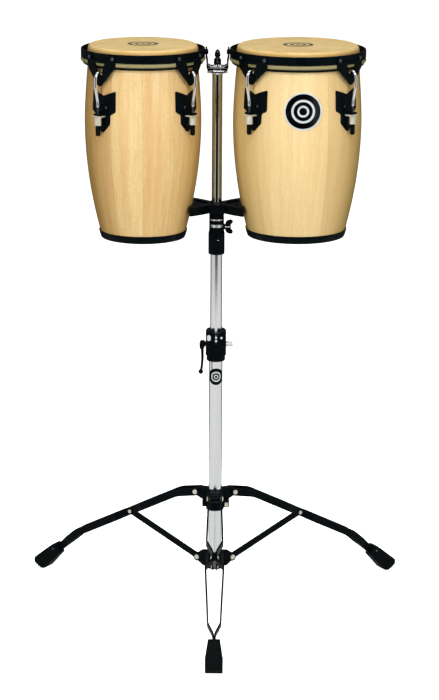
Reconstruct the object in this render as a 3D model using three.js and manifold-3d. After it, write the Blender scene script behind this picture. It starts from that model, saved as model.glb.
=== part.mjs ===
// A pair of small stave conga drums side by side on a folding tripod stand.
// Millimetres, +Z up. Front is -Y and the stand's centre tube is on X = 0.
import * as THREE from "three";
import { mergeVertices } from "three/addons/utils/BufferGeometryUtils.js";
import Module from "manifold-3d";

const wasm = await Module();
wasm.setup();

// ---------------------------------------------------------------- driving dimensions
const GAP = 0.35; // clearance between pieces that touch
const RIGHT_ANGLE = Math.PI / 2;
const DRUM_SEGMENTS = 24;
const TUBE_SEGMENTS = 16;
const SMALL_SEGMENTS = 8;

// Drums. Radii inside a drum are offsets from its hoop's outer radius.
// Lift raises a drum's tuning hardware, and lugTurn turns it about the drum's axis.
const LEFT = { side: "left", hoopRadius: 114, bottom: 718, lift: 0, lugTurn: 4.5, turn: -1 };
const RIGHT = { side: "right", hoopRadius: 125, bottom: 722.3, lift: 5, lugTurn: 2.5, turn: 1 };
const HOOP_SPACING = 45.5; // between the two hoops' facing sides
const LUG_ANGLES = { front_left: -45, front_right: 45, back_right: 135, back_left: -135 };
const HEAD_TOP = 1076;
const HEAD_THICKNESS = 1.8;
const HOOP_TOP = 1069.5;
const HOOP_BOTTOM = 1054;
const HOOP_WALL = 3;
const TUCK_BOTTOM = 1046; // underside of the rolled skin edge below the hoop
const BELLY_HEIGHT = 937;
const BELLY_INSET = 6.3; // the widest wood, inside the hoop's outer radius
const SHELL_TOP = 1073.6;
const SHELL_WALL = 9;
const RING_RISE = 13; // top of the bottom ring, above the wood's foot
const RING_DROP = 1.7; // underside of the bottom ring, below the wood's foot
const STRAP_INNER = 1; // V straps, outside the hoop's outer radius
const STRAP_OUTER = 3.6;
const STRAP_SHOULDER = 1046.5; // the straps narrow below this height
const STRAP_WINDOW_BOTTOM = 1030;
const HOOK_OFFSET = 7.6; // hook rod's centre line, outside the hoop's outer radius
const HOOK_RADIUS = 3;
const THREAD_RADIUS = 2.4;
const THREAD_TOP = 974;
const HOOK_BOTTOM = 920;
const LEDGE_TOP = 960.5;
const LEDGE_BOTTOM = 954.2;
const NUT_TOP = 953.6;
const NUT_HEIGHT = 14;
const NUT_RADIUS = 7.4;

// Stand, from the floor up.
const BASE_TUBE = { outer: 12.7, inner: 11.45, bottom: 67, top: 500 };
const UPPER_TUBE = { outer: 11.1, inner: 9.9, bottom: 230, top: 725 };
const POST = { outer: 9.525, inner: 7.9, bottom: 560, top: 1023.7 };
const PIVOT_RADIUS = 37; // leg and brace pivots, from the tube's axis
const COLLAR_PIVOT = 215;
const HUB_PIVOT = 82;
const BRACE_REACH = 189; // where leg and brace meet, from the tube's axis
const STRIP = 3.2; // thickness of the leg and brace bars
const LEG_DEPTH = 15;
const BRACE_DEPTH = 12.5;
const PIN_RADIUS = 3;
const PINCH = 3.8; // from the leg's middle plane to a strip's middle, at the brace
const LEG_DIRECTIONS = { front: -90, back_right: 30, back_left: 150 };
const POLE_SETBACK = 96.15; // puts the middle of the whole outline on Y = 0

// ---------------------------------------------------------------- solids
function toSolid(geometry) {
  const plain = geometry.clone();
  plain.deleteAttribute("normal");
  plain.deleteAttribute("uv");
  const merged = mergeVertices(plain, 1e-4);
  const vertProperties = new Float32Array(merged.attributes.position.array);
  const triVerts = new Uint32Array(merged.index.array);
  return new wasm.Manifold(new wasm.Mesh({ numProp: 3, vertProperties, triVerts }));
}

function toGeometry(solid) {
  const mesh = solid.getMesh();
  const geometry = new THREE.BufferGeometry();
  geometry.setAttribute("position", new THREE.BufferAttribute(mesh.vertProperties, 3));
  geometry.setIndex(new THREE.BufferAttribute(mesh.triVerts, 1));
  geometry.computeVertexNormals();
  return geometry;
}

function join(...geometries) {
  return toGeometry(geometries.map(toSolid).reduce((whole, solid) => whole.add(solid)));
}

function cut(geometry, ...tools) {
  return toGeometry(tools.map(toSolid).reduce((rest, tool) => rest.subtract(tool), toSolid(geometry)));
}

function common(first, second) {
  return toGeometry(toSolid(first).intersect(toSolid(second)));
}

// A [radius, height] profile turned about Z, closed unless it starts on the axis.
function revolve(profile, segments = TUBE_SEGMENTS) {
  const closed = profile[0][0] === 0 ? profile : [...profile, profile[0]];
  const points = closed.map(([radius, height]) => new THREE.Vector2(radius, height));
  return new THREE.LatheGeometry(points, segments).rotateX(RIGHT_ANGLE);
}

function sleeve(inner, outer, bottom, top, segments = TUBE_SEGMENTS) {
  return revolve([[inner, bottom], [outer, bottom], [outer, top], [inner, top]], segments);
}

function rod(radius, bottom, top, segments = SMALL_SEGMENTS) {
  const geometry = new THREE.CylinderGeometry(radius, radius, top - bottom, segments);
  return geometry.rotateX(RIGHT_ANGLE).translate(0, 0, (top + bottom) / 2);
}

// A rod along Y, centred on y = 0, at one x and z.
function crossPin(radius, length, x, z, segments = SMALL_SEGMENTS) {
  return new THREE.CylinderGeometry(radius, radius, length, segments).translate(x, 0, z);
}

// A rod along X from one x to another, at one y and z.
function sideRod(radius, fromX, toX, y, z, segments = SMALL_SEGMENTS) {
  const geometry = new THREE.CylinderGeometry(radius, radius, toX - fromX, segments);
  return geometry.rotateZ(RIGHT_ANGLE).translate((fromX + toX) / 2, y, z);
}

function box(x0, x1, y0, y1, z0, z1) {
  const geometry = new THREE.BoxGeometry(x1 - x0, y1 - y0, z1 - z0);
  return geometry.translate((x0 + x1) / 2, (y0 + y1) / 2, (z0 + z1) / 2);
}

// Turns a geometry about Z by an angle in degrees.
function turnedAbout(geometry, degrees) {
  return geometry.rotateZ(THREE.MathUtils.degToRad(degrees));
}

function outline(points) {
  return new THREE.Shape(points.map(([x, y]) => new THREE.Vector2(x, y)));
}

// An outline drawn in X and Z, with its thickness along Y about y = 0.
function uprightPlate(shape, thickness, curveSegments = 5) {
  const geometry = new THREE.ExtrudeGeometry(shape, { depth: thickness, bevelEnabled: false, curveSegments });
  return geometry.translate(0, 0, -thickness / 2).rotateX(RIGHT_ANGLE);
}

// An outline drawn in X and Y, raised along Z.
function flatPlate(shape, bottom, top, curveSegments = 5) {
  const options = { depth: top - bottom, bevelEnabled: false, curveSegments };
  return new THREE.ExtrudeGeometry(shape, options).translate(0, 0, bottom);
}

// Rounds the corners of an open polyline.
function softened(points, radius, divisions = 3) {
  const corners = points.map(([x, y]) => new THREE.Vector2(x, y));
  const path = new THREE.Path();
  path.moveTo(corners[0].x, corners[0].y);
  for (let i = 1; i < corners.length - 1; i++) {
    const before = corners[i].clone().lerp(corners[i - 1], radius / corners[i].distanceTo(corners[i - 1]));
    const after = corners[i].clone().lerp(corners[i + 1], radius / corners[i].distanceTo(corners[i + 1]));
    path.lineTo(before.x, before.y);
    path.quadraticCurveTo(corners[i].x, corners[i].y, after.x, after.y);
  }
  path.lineTo(corners.at(-1).x, corners.at(-1).y);
  return path.getPoints(divisions);
}

// The outline of a bar of even width that follows a line of points.
function ribbon(points, halfWidth) {
  const left = [];
  const right = [];
  for (let i = 0; i < points.length; i++) {
    const before = points[Math.max(i - 1, 0)];
    const after = points[Math.min(i + 1, points.length - 1)];
    const here = points[i];
    const intoHere = here.clone().sub(before).normalize();
    const outOfHere = after.clone().sub(here).normalize();
    const along = intoHere.clone().add(outOfHere).normalize();
    const stretch = i > 0 && i < points.length - 1 ? along.dot(outOfHere) : 1;
    const across = new THREE.Vector2(-along.y, along.x).multiplyScalar(halfWidth / stretch);
    left.push(here.clone().add(across));
    right.unshift(here.clone().sub(across));
  }
  return new THREE.Shape([...right, ...left]);
}

// ---------------------------------------------------------------- materials and meshes
const LOOKS = {
  wood: { color: 0xd9ab6a, roughness: 0.4, metalness: 0 },
  skin: { color: 0xd8b36c, roughness: 0.5, metalness: 0 },
  blackMetal: { color: 0x101417, roughness: 0.4, metalness: 0.3 },
  chrome: { color: 0xd4d6d8, roughness: 0.1, metalness: 1 },
  zinc: { color: 0xb8b5aa, roughness: 0.35, metalness: 0.9 },
  rubber: { color: 0x151617, roughness: 0.8, metalness: 0 },
  badge: { color: 0x1b1c1e, roughness: 0.25, metalness: 0.2 },
};

function addPiece(parent, name, look, geometry) {
  const mesh = new THREE.Mesh(geometry, new THREE.MeshStandardMaterial(LOOKS[look]));
  mesh.name = name;
  parent.add(mesh);
  return mesh;
}

// ---------------------------------------------------------------- drum
// Outer radius of the wood: fullest at the belly, drawn in more below it than above.
function woodRadius(hoopRadius, height) {
  const above = height - BELLY_HEIGHT;
  const drawnIn = above > 0 ? 0.0059 * above ** 1.5 : 0.00065 * above ** 2;
  return hoopRadius - BELLY_INSET - drawnIn;
}

// The wood's side as [radius, height] points, moved out by an offset.
function woodSide(hoopRadius, bottom, top, offset, steps) {
  const side = [];
  for (let i = 0; i <= steps; i++) {
    const height = THREE.MathUtils.lerp(bottom, top, i / steps);
    side.push([woodRadius(hoopRadius, height) + offset, height]);
  }
  return side;
}

function shell({ hoopRadius, bottom }) {
  const outside = woodSide(hoopRadius, bottom, SHELL_TOP - 2, 0, 7);
  const inside = woodSide(hoopRadius, bottom, SHELL_TOP - 1, -SHELL_WALL, 4).reverse();
  const bearingEdge = [[woodRadius(hoopRadius, SHELL_TOP) - 3, SHELL_TOP]];
  return revolve([...outside, ...bearingEdge, ...inside], DRUM_SEGMENTS);
}

// The crowned skin, drawn down over the wood and rolled outwards under the hoop.
function head({ hoopRadius }) {
  const profile = [
    [0, HEAD_TOP - HEAD_THICKNESS],
    [hoopRadius - 17.4, HEAD_TOP - HEAD_THICKNESS],
    [hoopRadius - 14.8, HEAD_TOP - 4.5],
    [hoopRadius - 13.6, HEAD_TOP - 16],
    [hoopRadius - 12.4, HEAD_TOP - 26],
    [hoopRadius - 12.4, TUCK_BOTTOM],
    [hoopRadius - 1.5, TUCK_BOTTOM],
    [hoopRadius + 0.6, TUCK_BOTTOM + 3.5],
    [hoopRadius - 1, HOOP_BOTTOM - GAP],
    [hoopRadius - 11.4, HOOP_BOTTOM - GAP],
    [hoopRadius - 11.9, HEAD_TOP - 16],
    [hoopRadius - 13, HEAD_TOP - 4.8],
    [hoopRadius - 14.4, HEAD_TOP - 1.8],
    [hoopRadius - 17.6, HEAD_TOP],
    [0, HEAD_TOP],
  ];
  return revolve(profile, DRUM_SEGMENTS);
}

// A V strap that hangs from the hoop, with a window that the hook goes through.
// Only its outline is turned: the layers it is cut from keep the hoop's facets.
function strap({ hoopRadius, lift, lugTurn }) {
  const edge = outline([
    [34, HOOP_TOP - 1], [-34, HOOP_TOP - 1], [-34, STRAP_SHOULDER], [-5, 1013 + lift],
    [-2.4, 1010 + lift], [2.4, 1010 + lift], [5, 1013 + lift], [34, STRAP_SHOULDER],
  ]);
  const windowBottom = STRAP_WINDOW_BOTTOM + lift;
  edge.holes.push(outline([[-12, 1051], [-4.6, windowBottom], [4.6, windowBottom], [12, 1051]]));
  const front = turnedAbout(uprightPlate(edge, 60).translate(0, -hoopRadius, 0), lugTurn);
  const low = sleeve(hoopRadius + STRAP_INNER, hoopRadius + STRAP_OUTER, 1000, HOOP_BOTTOM + 1, DRUM_SEGMENTS);
  const high = sleeve(hoopRadius - 1, hoopRadius + STRAP_OUTER, HOOP_BOTTOM + 0.1, HOOP_TOP, DRUM_SEGMENTS);
  return common(front, join(low, high));
}

function hoop(drum) {
  const { hoopRadius } = drum;
  const inner = hoopRadius - HOOP_WALL;
  const band = revolve(
    [
      [inner, HOOP_BOTTOM], [hoopRadius, HOOP_BOTTOM], [hoopRadius, HOOP_TOP - 1],
      [hoopRadius - 1, HOOP_TOP], [inner, HOOP_TOP],
    ],
    DRUM_SEGMENTS,
  );
  const oneStrap = strap(drum);
  const turned = Object.values(LUG_ANGLES).map((angle) => turnedAbout(oneStrap.clone(), angle));
  return join(band, ...turned);
}

// A conical band round the foot of the wood, turned in under it.
function bottomRing({ hoopRadius, bottom }) {
  const outside = woodSide(hoopRadius, bottom, bottom + RING_RISE, 2.4, 1);
  const inside = woodSide(hoopRadius, bottom - GAP, bottom + RING_RISE, GAP, 1).reverse();
  const inner = woodRadius(hoopRadius, bottom) - SHELL_WALL;
  const foot = bottom - RING_DROP;
  const lip = [[inner, bottom - GAP], [inner, foot], [outside[0][0] - 1, foot]];
  return revolve([...outside, ...inside, ...lip], DRUM_SEGMENTS);
}

// A pressed plate that lies on the wood, with a ledge that the hook's thread passes.
function sidePlate({ hoopRadius, lift, lugTurn }) {
  const edge = outline([
    [27, 1001], [15, 1000], [8, 995], [0, 992], [-8, 995], [-15, 1000], [-27, 1001],
    [-27.5, 964], [-16.5, 957], [-16, 941], [-2.5, 926], [2.5, 926], [16, 941], [16.5, 957], [27.5, 964],
  ]);
  const front = turnedAbout(uprightPlate(edge, 60).translate(0, -hoopRadius, lift), lugTurn);
  const outside = woodSide(hoopRadius, 920, 1010, 3.2, 2);
  const inside = woodSide(hoopRadius, 920, 1010, GAP, 2).reverse();
  const plate = common(front, revolve([...outside, ...inside], DRUM_SEGMENTS));
  const ledgeFront = -hoopRadius - HOOK_OFFSET - 4.6;
  const ledge = box(-8.4, 8.4, ledgeFront, 5 - hoopRadius, LEDGE_BOTTOM + lift, LEDGE_TOP + lift);
  const hole = rod(THREAD_RADIUS + 0.5, 950, 970).translate(0, -hoopRadius - HOOK_OFFSET, 0);
  return cut(join(plate, turnedAbout(ledge, lugTurn)), turnedAbout(hole, lugTurn));
}

// A J hook over the strap's lower edge, threaded below, with a rubber end cap.
function hook({ hoopRadius, lift, lugTurn }) {
  const bend = (HOOK_OFFSET + STRAP_INNER + 2.2) / 2;
  const middle = hoopRadius + HOOK_OFFSET - bend;
  const centreLine = new THREE.CatmullRomCurve3([
    new THREE.Vector3(0, -middle + bend, STRAP_WINDOW_BOTTOM - 8),
    ...[0, 45, 90, 135, 180].map((degrees) => {
      const angle = THREE.MathUtils.degToRad(degrees);
      const height = STRAP_WINDOW_BOTTOM + bend * Math.sin(angle);
      return new THREE.Vector3(0, -middle + bend * Math.cos(angle), height);
    }),
  ]);
  const section = new THREE.Shape().absarc(0, 0, HOOK_RADIUS, 0, 2 * Math.PI);
  const bent = new THREE.ExtrudeGeometry(section, { steps: 8, extrudePath: centreLine, curveSegments: 3 });
  const shank = [
    rod(HOOK_RADIUS, THREAD_TOP, STRAP_WINDOW_BOTTOM + 0.5, 6),
    rod(THREAD_RADIUS, HOOK_BOTTOM + 1, THREAD_TOP + 1, 6),
    rod(4.5, HOOK_BOTTOM, NUT_TOP - NUT_HEIGHT - 1),
  ].map((piece) => piece.translate(0, -middle - bend, 0));
  return turnedAbout(join(bent, ...shank).translate(0, 0, lift), lugTurn);
}

function tuningNut({ hoopRadius, lift, lugTurn }) {
  const hex = rod(NUT_RADIUS, NUT_TOP - NUT_HEIGHT, NUT_TOP, 6);
  const bore = rod(THREAD_RADIUS + 0.5, NUT_TOP - NUT_HEIGHT - 1, NUT_TOP + 1);
  return turnedAbout(cut(hex, bore).translate(0, -hoopRadius - HOOK_OFFSET, lift), lugTurn);
}

// A bent flat bar from the hoop's inner side down into the stand's top clamp.
// Drawn for the drum on the left; the other one is turned half round.
function hanger({ hoopRadius }) {
  const out = hoopRadius + 0.95 + 1.5;
  const footEnd = hoopRadius + HOOP_SPACING / 2 - 7.5;
  const line = softened([[out, 1070], [out, 1053], [out + 1.6, 1047], [out + 1.6, 1031], [footEnd, 1031]], 3);
  const bar = uprightPlate(ribbon(line, 1.5), 26);
  const bolts = [-7, 7].map((y) => sideRod(3.2, hoopRadius + GAP, out + 3.4, y, 1062));
  return join(bar, ...bolts);
}

// A round badge, a little right of the front, that follows the wood's curve.
const BADGE = { radius: 34.5, height: 971, turn: 3.5 };
function badge({ hoopRadius }) {
  const cylinder = new THREE.CylinderGeometry(BADGE.radius, BADGE.radius, 60, 20);
  const disc = turnedAbout(cylinder.translate(0, -hoopRadius, BADGE.height), BADGE.turn);
  const outside = woodSide(hoopRadius, 930, 1012, 2, 2);
  const inside = woodSide(hoopRadius, 930, 1012, GAP, 2).reverse();
  return common(disc, revolve([...outside, ...inside], DRUM_SEGMENTS));
}

function buildDrum(parent, drum) {
  const { side, hoopRadius, turn } = drum;
  const group = new THREE.Group();
  group.position.x = turn * (HOOP_SPACING / 2 + hoopRadius);
  parent.add(group);
  addPiece(group, `${side}_shell`, "wood", shell(drum));
  addPiece(group, `${side}_head`, "skin", head(drum));
  addPiece(group, `${side}_hoop`, "blackMetal", hoop(drum));
  addPiece(group, `${side}_bottom_ring`, "blackMetal", bottomRing(drum));
  const hangerMesh = addPiece(group, `${side}_hanger`, "blackMetal", hanger(drum));
  hangerMesh.rotation.z = turn > 0 ? Math.PI : 0;
  for (const [place, angle] of Object.entries(LUG_ANGLES)) {
    const pieces = [
      addPiece(group, `${side}_hook_${place}`, "chrome", hook(drum)),
      addPiece(group, `${side}_side_plate_${place}`, "blackMetal", sidePlate(drum)),
      addPiece(group, `${side}_tuning_nut_${place}`, "zinc", tuningNut(drum)),
    ];
    pieces.forEach((piece) => {
      piece.rotation.z = THREE.MathUtils.degToRad(angle);
    });
  }
  return group;
}

// ---------------------------------------------------------------- top clamp and cradle
const TRAY_TOP = 1029;
const FOOT_TOP = 1032.85; // top of the hanger feet
const BOLT_RADIUS = 4;
const BOLT_TOP = 1047;

// A plate welded to the post, with the bolt that the clamp is tightened on.
function tray() {
  const plate = box(-18.5, 18.5, -16, 16, POST.top + 0.3, TRAY_TOP);
  const bolt = rod(BOLT_RADIUS, TRAY_TOP - 1, BOLT_TOP);
  return join(plate, bolt);
}

function clampPlate() {
  const bottom = FOOT_TOP + GAP - 0.1;
  const plate = box(-17, 17, -15, 15, bottom, bottom + 5.4);
  const relief = box(-14, 14, -16, 16, bottom + 3, bottom + 7);
  const channel = join(cut(plate, relief), rod(8, bottom + 1, bottom + 5.2, TUBE_SEGMENTS));
  return cut(channel, rod(BOLT_RADIUS + 0.4, bottom - 1, bottom + 7));
}

// A wing nut with an acorn end; its wings point forward and back.
function topKnob() {
  const bottom = FOOT_TOP + GAP + 5.6;
  const body = revolve([[0, bottom], [6.8, bottom], [6.8, 1047], [4.8, 1051.2], [0, 1052.2]], 12);
  const acorn = revolve([[0, 1051], [3, 1051], [5.3, 1053.5], [4.6, 1060], [2.4, 1065.8], [0, 1066.6]], 12);
  const wingEdge = outline([[4, bottom + 2], [12, bottom + 5], [16, 1051], [12.5, 1053.5], [9, 1051], [4, 1048]]);
  const wing = uprightPlate(wingEdge, 4).rotateZ(RIGHT_ANGLE);
  const knob = join(body, acorn, wing, wing.clone().rotateZ(Math.PI));
  return cut(knob, rod(BOLT_RADIUS + 0.4, bottom - 1, BOLT_TOP + GAP));
}

const CRADLE_BOTTOM = 764;
const CRADLE_TOP = 780;

// A bow-tie block round the post whose hollow ends bear on the two drums.
function cradle() {
  const shape = new THREE.Shape();
  shape.moveTo(-50, -54);
  shape.quadraticCurveTo(-32, -44, -13, -22);
  shape.lineTo(13, -22);
  shape.quadraticCurveTo(32, -44, 50, -54);
  shape.lineTo(50, 54);
  shape.quadraticCurveTo(32, 44, 13, 22);
  shape.lineTo(-13, 22);
  shape.quadraticCurveTo(-32, 44, -50, 54);
  const block = flatPlate(shape, CRADLE_BOTTOM, CRADLE_TOP, 5);
  const drumSides = [LEFT, RIGHT].map(({ hoopRadius, turn }) => {
    const side = woodSide(hoopRadius, CRADLE_BOTTOM - 2, CRADLE_TOP + 2, GAP, 2);
    const solid = revolve([[0, CRADLE_BOTTOM - 2], ...side, [0, CRADLE_TOP + 2]], DRUM_SEGMENTS);
    return solid.translate(turn * (HOOP_SPACING / 2 + hoopRadius), 0, 0);
  });
  const dimples = [-35, 35].map((x) => rod(3.6, CRADLE_TOP - 5, CRADLE_TOP + 1).translate(x, 0, 0));
  return cut(block, rod(POST.outer + GAP, CRADLE_BOTTOM - 1, CRADLE_TOP + 1, TUBE_SEGMENTS), ...drumSides, ...dimples);
}

// ---------------------------------------------------------------- tube clamps
const SLEEVE = { bottom: 683, shoulder: 725.4, top: CRADLE_BOTTOM - GAP, lower: 15.2, upper: 13.8 };
const WING_BOLT_HEIGHT = 735;

// Holds the post in the upper tube; two windows in its front show the post.
function sleeveClamp() {
  const body = revolve(
    [
      [UPPER_TUBE.outer + GAP, SLEEVE.bottom], [SLEEVE.lower - 1.6, SLEEVE.bottom],
      [SLEEVE.lower, SLEEVE.bottom + 2], [SLEEVE.lower, SLEEVE.shoulder - 2],
      [SLEEVE.upper, SLEEVE.shoulder + 4], [SLEEVE.upper, SLEEVE.top],
      [POST.outer + GAP, SLEEVE.top], [POST.outer + GAP, SLEEVE.shoulder],
      [UPPER_TUBE.outer + GAP, SLEEVE.shoulder],
    ],
    TUBE_SEGMENTS,
  );
  const boss = sideRod(5.5, 11, 15.5, 0, WING_BOLT_HEIGHT);
  const windows = [[748, 750.8], [735.2, 740.4]].map(([bottom, top]) => box(-9, 9, -20, -7, bottom, top));
  const bore = rod(POST.outer + GAP, 700, 800, TUBE_SEGMENTS);
  return cut(join(body, boss), bore, sideRod(2.9, 5, 20, 0, WING_BOLT_HEIGHT), ...windows);
}

function wingBolt() {
  const shank = sideRod(2.5, POST.outer + 0.3, 22, 0, WING_BOLT_HEIGHT);
  const hub = sideRod(5, 16, 27, 0, WING_BOLT_HEIGHT);
  const wingShape = new THREE.Shape();
  wingShape.absellipse(23.6, WING_BOLT_HEIGHT + 8, 7.2, 5, 0, 2 * Math.PI, false, 0.5);
  const upper = uprightPlate(wingShape, 4.4, 7);
  const lower = upper.clone().translate(0, 0, -WING_BOLT_HEIGHT).rotateX(Math.PI).translate(0, 0, WING_BOLT_HEIGHT);
  return join(shank, hub, upper, lower);
}

const LEVER_CLAMP = { bottom: 477.5, shoulder: 496, top: 538.7 };
const CLAMP_BOLT = { y: -17.5, z: 514 };
const LEVER_PIVOT_X = -25;

// A split clamp at the top of the base tube; two jaws stand up at its front.
function leverClamp() {
  const jawShape = new THREE.Shape();
  jawShape.moveTo(-18.6, -24);
  jawShape.lineTo(18.6, -24);
  jawShape.lineTo(18.6, -4);
  jawShape.absarc(0, 0, 17.6, 0, Math.PI);
  jawShape.lineTo(-18.6, -4);
  const jaws = flatPlate(jawShape, LEVER_CLAMP.shoulder, LEVER_CLAMP.top, 8);
  const neck = rod(16.8, LEVER_CLAMP.bottom, LEVER_CLAMP.shoulder + 1, TUBE_SEGMENTS);
  const dip = uprightPlate(outline([[-9, 545], [-5, 533], [5, 533], [9, 545]]), 80);
  const slit = box(-1.8, 1.8, -30, -8, 490, 545);
  const tubeSeat = rod(BASE_TUBE.outer + GAP, 470, BASE_TUBE.top + GAP, TUBE_SEGMENTS);
  const bore = rod(UPPER_TUBE.outer + GAP, 470, 550, TUBE_SEGMENTS);
  const boltHole = sideRod(3.4, -25, 25, CLAMP_BOLT.y, CLAMP_BOLT.z);
  const body = cut(join(jaws, neck), dip, slit, tubeSeat, bore, boltHole);
  const stud = crossPin(4, 3, 0, 522).translate(0, -24.5, 0);
  return join(body, stud.clone().translate(-13.2, 0, 0), stud.translate(10, 0, 0));
}

// The cross bolt with its long nut on the right and an eye for the lever on the left.
function clampBolt() {
  const { y, z } = CLAMP_BOLT;
  const bolt = sideRod(2.9, LEVER_PIVOT_X + 2, 22, y, z);
  const nut = sideRod(5, 19, 31.9, y, z, 6);
  const eye = crossPin(4.4, 4.2, LEVER_PIVOT_X, z).translate(0, y, 0);
  return cut(join(bolt, nut, eye), crossPin(2.3, 10, LEVER_PIVOT_X, z).translate(0, y, 0));
}

// The cam lever: a forked cam on a pin, a bar that hangs down and a ball end.
function clampLever() {
  const { y, z } = CLAMP_BOLT;
  const cam = crossPin(6, 14, LEVER_PIVOT_X, z, 16);
  const slot = box(LEVER_PIVOT_X - 5.2, LEVER_PIVOT_X + 8, -3.4, 3.4, z - 5.2, z + 8);
  const pin = crossPin(1.9, 12, LEVER_PIVOT_X, z);
  const line = softened([[LEVER_PIVOT_X - 3, z - 2], [LEVER_PIVOT_X - 1.5, z - 30], [LEVER_PIVOT_X - 3, z - 52]], 8);
  const bar = uprightPlate(ribbon(line, 2.2), 9);
  const ball = new THREE.SphereGeometry(4.6, 12, 8).translate(LEVER_PIVOT_X - 3.2, 0, z - 54);
  return join(cut(join(cam, bar), slot), pin, ball).translate(0, y, 0);
}

// ---------------------------------------------------------------- tripod
// Tripod pieces are drawn along +X and turned to each leg's direction.
const LEG_LINE = [[PIVOT_RADIUS, COLLAR_PIVOT], [80, 206.5], [307, 88], [350, 50.6], [374, 29.7]];
const LEG_SPREAD = [
  [28, 11.3], [157, 15], [180, PINCH], [198, PINCH], [211, 16.8], [329, 11.7], [345, STRIP / 2], [380, STRIP / 2],
];
const BRACE_RISE = Math.atan2((COLLAR_PIVOT - HUB_PIVOT) / 2, BRACE_REACH - PIVOT_RADIUS);
const BRACE_LENGTH = Math.hypot((COLLAR_PIVOT - HUB_PIVOT) / 2, BRACE_REACH - PIVOT_RADIUS);

function turnedThreeWays(geometry) {
  return Object.values(LEG_DIRECTIONS).map((angle) => turnedAbout(geometry.clone(), angle));
}

// Two flat strips, wide apart at the collar, pinched on the brace and joined at the foot.
function leg() {
  const fromSide = join(
    uprightPlate(ribbon(softened(LEG_LINE, 16, 2), LEG_DEPTH / 2), 50),
    crossPin(LEG_DEPTH / 2, 50, PIVOT_RADIUS, COLLAR_PIVOT, 12),
  );
  const near = flatPlate(ribbon(LEG_SPREAD.map(([x, y]) => new THREE.Vector2(x, y)), STRIP / 2), 0, 260);
  const far = flatPlate(ribbon(LEG_SPREAD.map(([x, y]) => new THREE.Vector2(x, -y)), STRIP / 2), 0, 260);
  const strips = join(common(fromSide, near), common(fromSide, far));
  const pin = crossPin(PIN_RADIUS, 28, PIVOT_RADIUS, COLLAR_PIVOT);
  const pinHeads = [-14.4, 14.4].map((y) => crossPin(4.8, 3, PIVOT_RADIUS, COLLAR_PIVOT).translate(0, y, 0));
  const midHeight = (COLLAR_PIVOT + HUB_PIVOT) / 2;
  const rivets = [-6.4, 6.4].map((y) => crossPin(4.8, 3, BRACE_REACH, midHeight).translate(0, y, 0));
  return join(strips, pin, ...pinHeads, ...rivets);
}

// A ribbed rubber shoe on the end of the leg, flat where it stands.
function foot() {
  const edge = outline([
    [352, 34], [383, 1.4], [386, 0], [394, 0], [409, 11], [411, 15], [401, 27], [368, 52], [362, 54],
  ]);
  const fromSide = uprightPlate(edge, 60);
  const fromAbove = flatPlate(
    outline([
      [345, -9.5], [368, -11.5], [395, -16.2], [407, -15.6], [411.5, -10],
      [411.5, 10], [407, 15.6], [395, 16.2], [368, 11.5], [345, 9.5],
    ]),
    -5,
    90,
  );
  const socket = uprightPlate(
    ribbon([[300, 94.1], [350, 50.6], [374.4, 29.4]].map(([x, z]) => new THREE.Vector2(x, z)), LEG_DEPTH / 2 + GAP),
    2 * (STRIP + GAP),
  );
  return cut(common(fromSide, fromAbove), socket);
}

function brace() {
  const bar = new THREE.Shape();
  bar.absarc(0, 0, BRACE_DEPTH / 2, RIGHT_ANGLE, -RIGHT_ANGLE);
  bar.absarc(BRACE_LENGTH, 0, BRACE_DEPTH / 2, -RIGHT_ANGLE, RIGHT_ANGLE);
  const plate = uprightPlate(bar, STRIP, 6);
  return cut(plate, crossPin(PIN_RADIUS + 0.4, 10, 0, 0));
}

// The sliding collar: three ears for the legs over a split band with a clamp screw.
function collar() {
  const earShape = new THREE.Shape();
  earShape.moveTo(14, 224.5);
  earShape.lineTo(32, 223.5);
  earShape.absarc(PIVOT_RADIUS, COLLAR_PIVOT, 7.2, 2.2, -1.6, true);
  earShape.lineTo(26, 203);
  earShape.lineTo(14, 200);
  const ears = turnedThreeWays(cut(uprightPlate(earShape, 19), crossPin(PIN_RADIUS + 0.4, 30, PIVOT_RADIUS, COLLAR_PIVOT)));
  const band = rod(17.2, 184, 224.5, TUBE_SEGMENTS);
  const screwEar = box(10, 27, -9, 9, 189.5, 203.5);
  const nutEar = box(-24.5, -10, -6.5, 6.5, 190, 203.5);
  const slit = box(8, 30, -1.2, 1.2, 183, 204.2);
  const bore = rod(BASE_TUBE.outer + GAP, 180, 230, TUBE_SEGMENTS);
  return cut(join(band, screwEar, nutEar, ...ears), slit, bore, crossPin(2.9, 40, 21.8, 196.5));
}

function collarScrew() {
  const shank = crossPin(2.5, 24, 21.8, 196.5).translate(0, -1, 0);
  const headShape = box(21.8 - 3.4, 21.8 + 3.4, -16, -9.4, 196.5 - 3.4, 196.5 + 3.4);
  return join(shank, headShape);
}

// The fixed hub at the foot of the base tube: three forks with the brace pins in them.
function hub() {
  const forkShape = new THREE.Shape();
  forkShape.moveTo(14.5, 99);
  forkShape.lineTo(30, 96);
  forkShape.absarc(PIVOT_RADIUS, HUB_PIVOT, 8, 1.9, -1.9, true);
  forkShape.lineTo(24, 67);
  forkShape.lineTo(14.5, 67);
  const cheek = uprightPlate(forkShape, 3);
  const fork = join(
    cheek.clone().translate(0, 3.75, 0),
    crossPin(PIN_RADIUS, 12, PIVOT_RADIUS, HUB_PIVOT),
    cheek.translate(0, -3.75, 0),
    crossPin(4.8, 2.4, PIVOT_RADIUS, HUB_PIVOT).translate(0, 6.2, 0),
    crossPin(4.8, 2.4, PIVOT_RADIUS, HUB_PIVOT).translate(0, -6.2, 0),
  );
  const band = sleeve(BASE_TUBE.outer + GAP, 17, 67, 99);
  return join(band, ...turnedThreeWays(fork));
}

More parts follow.
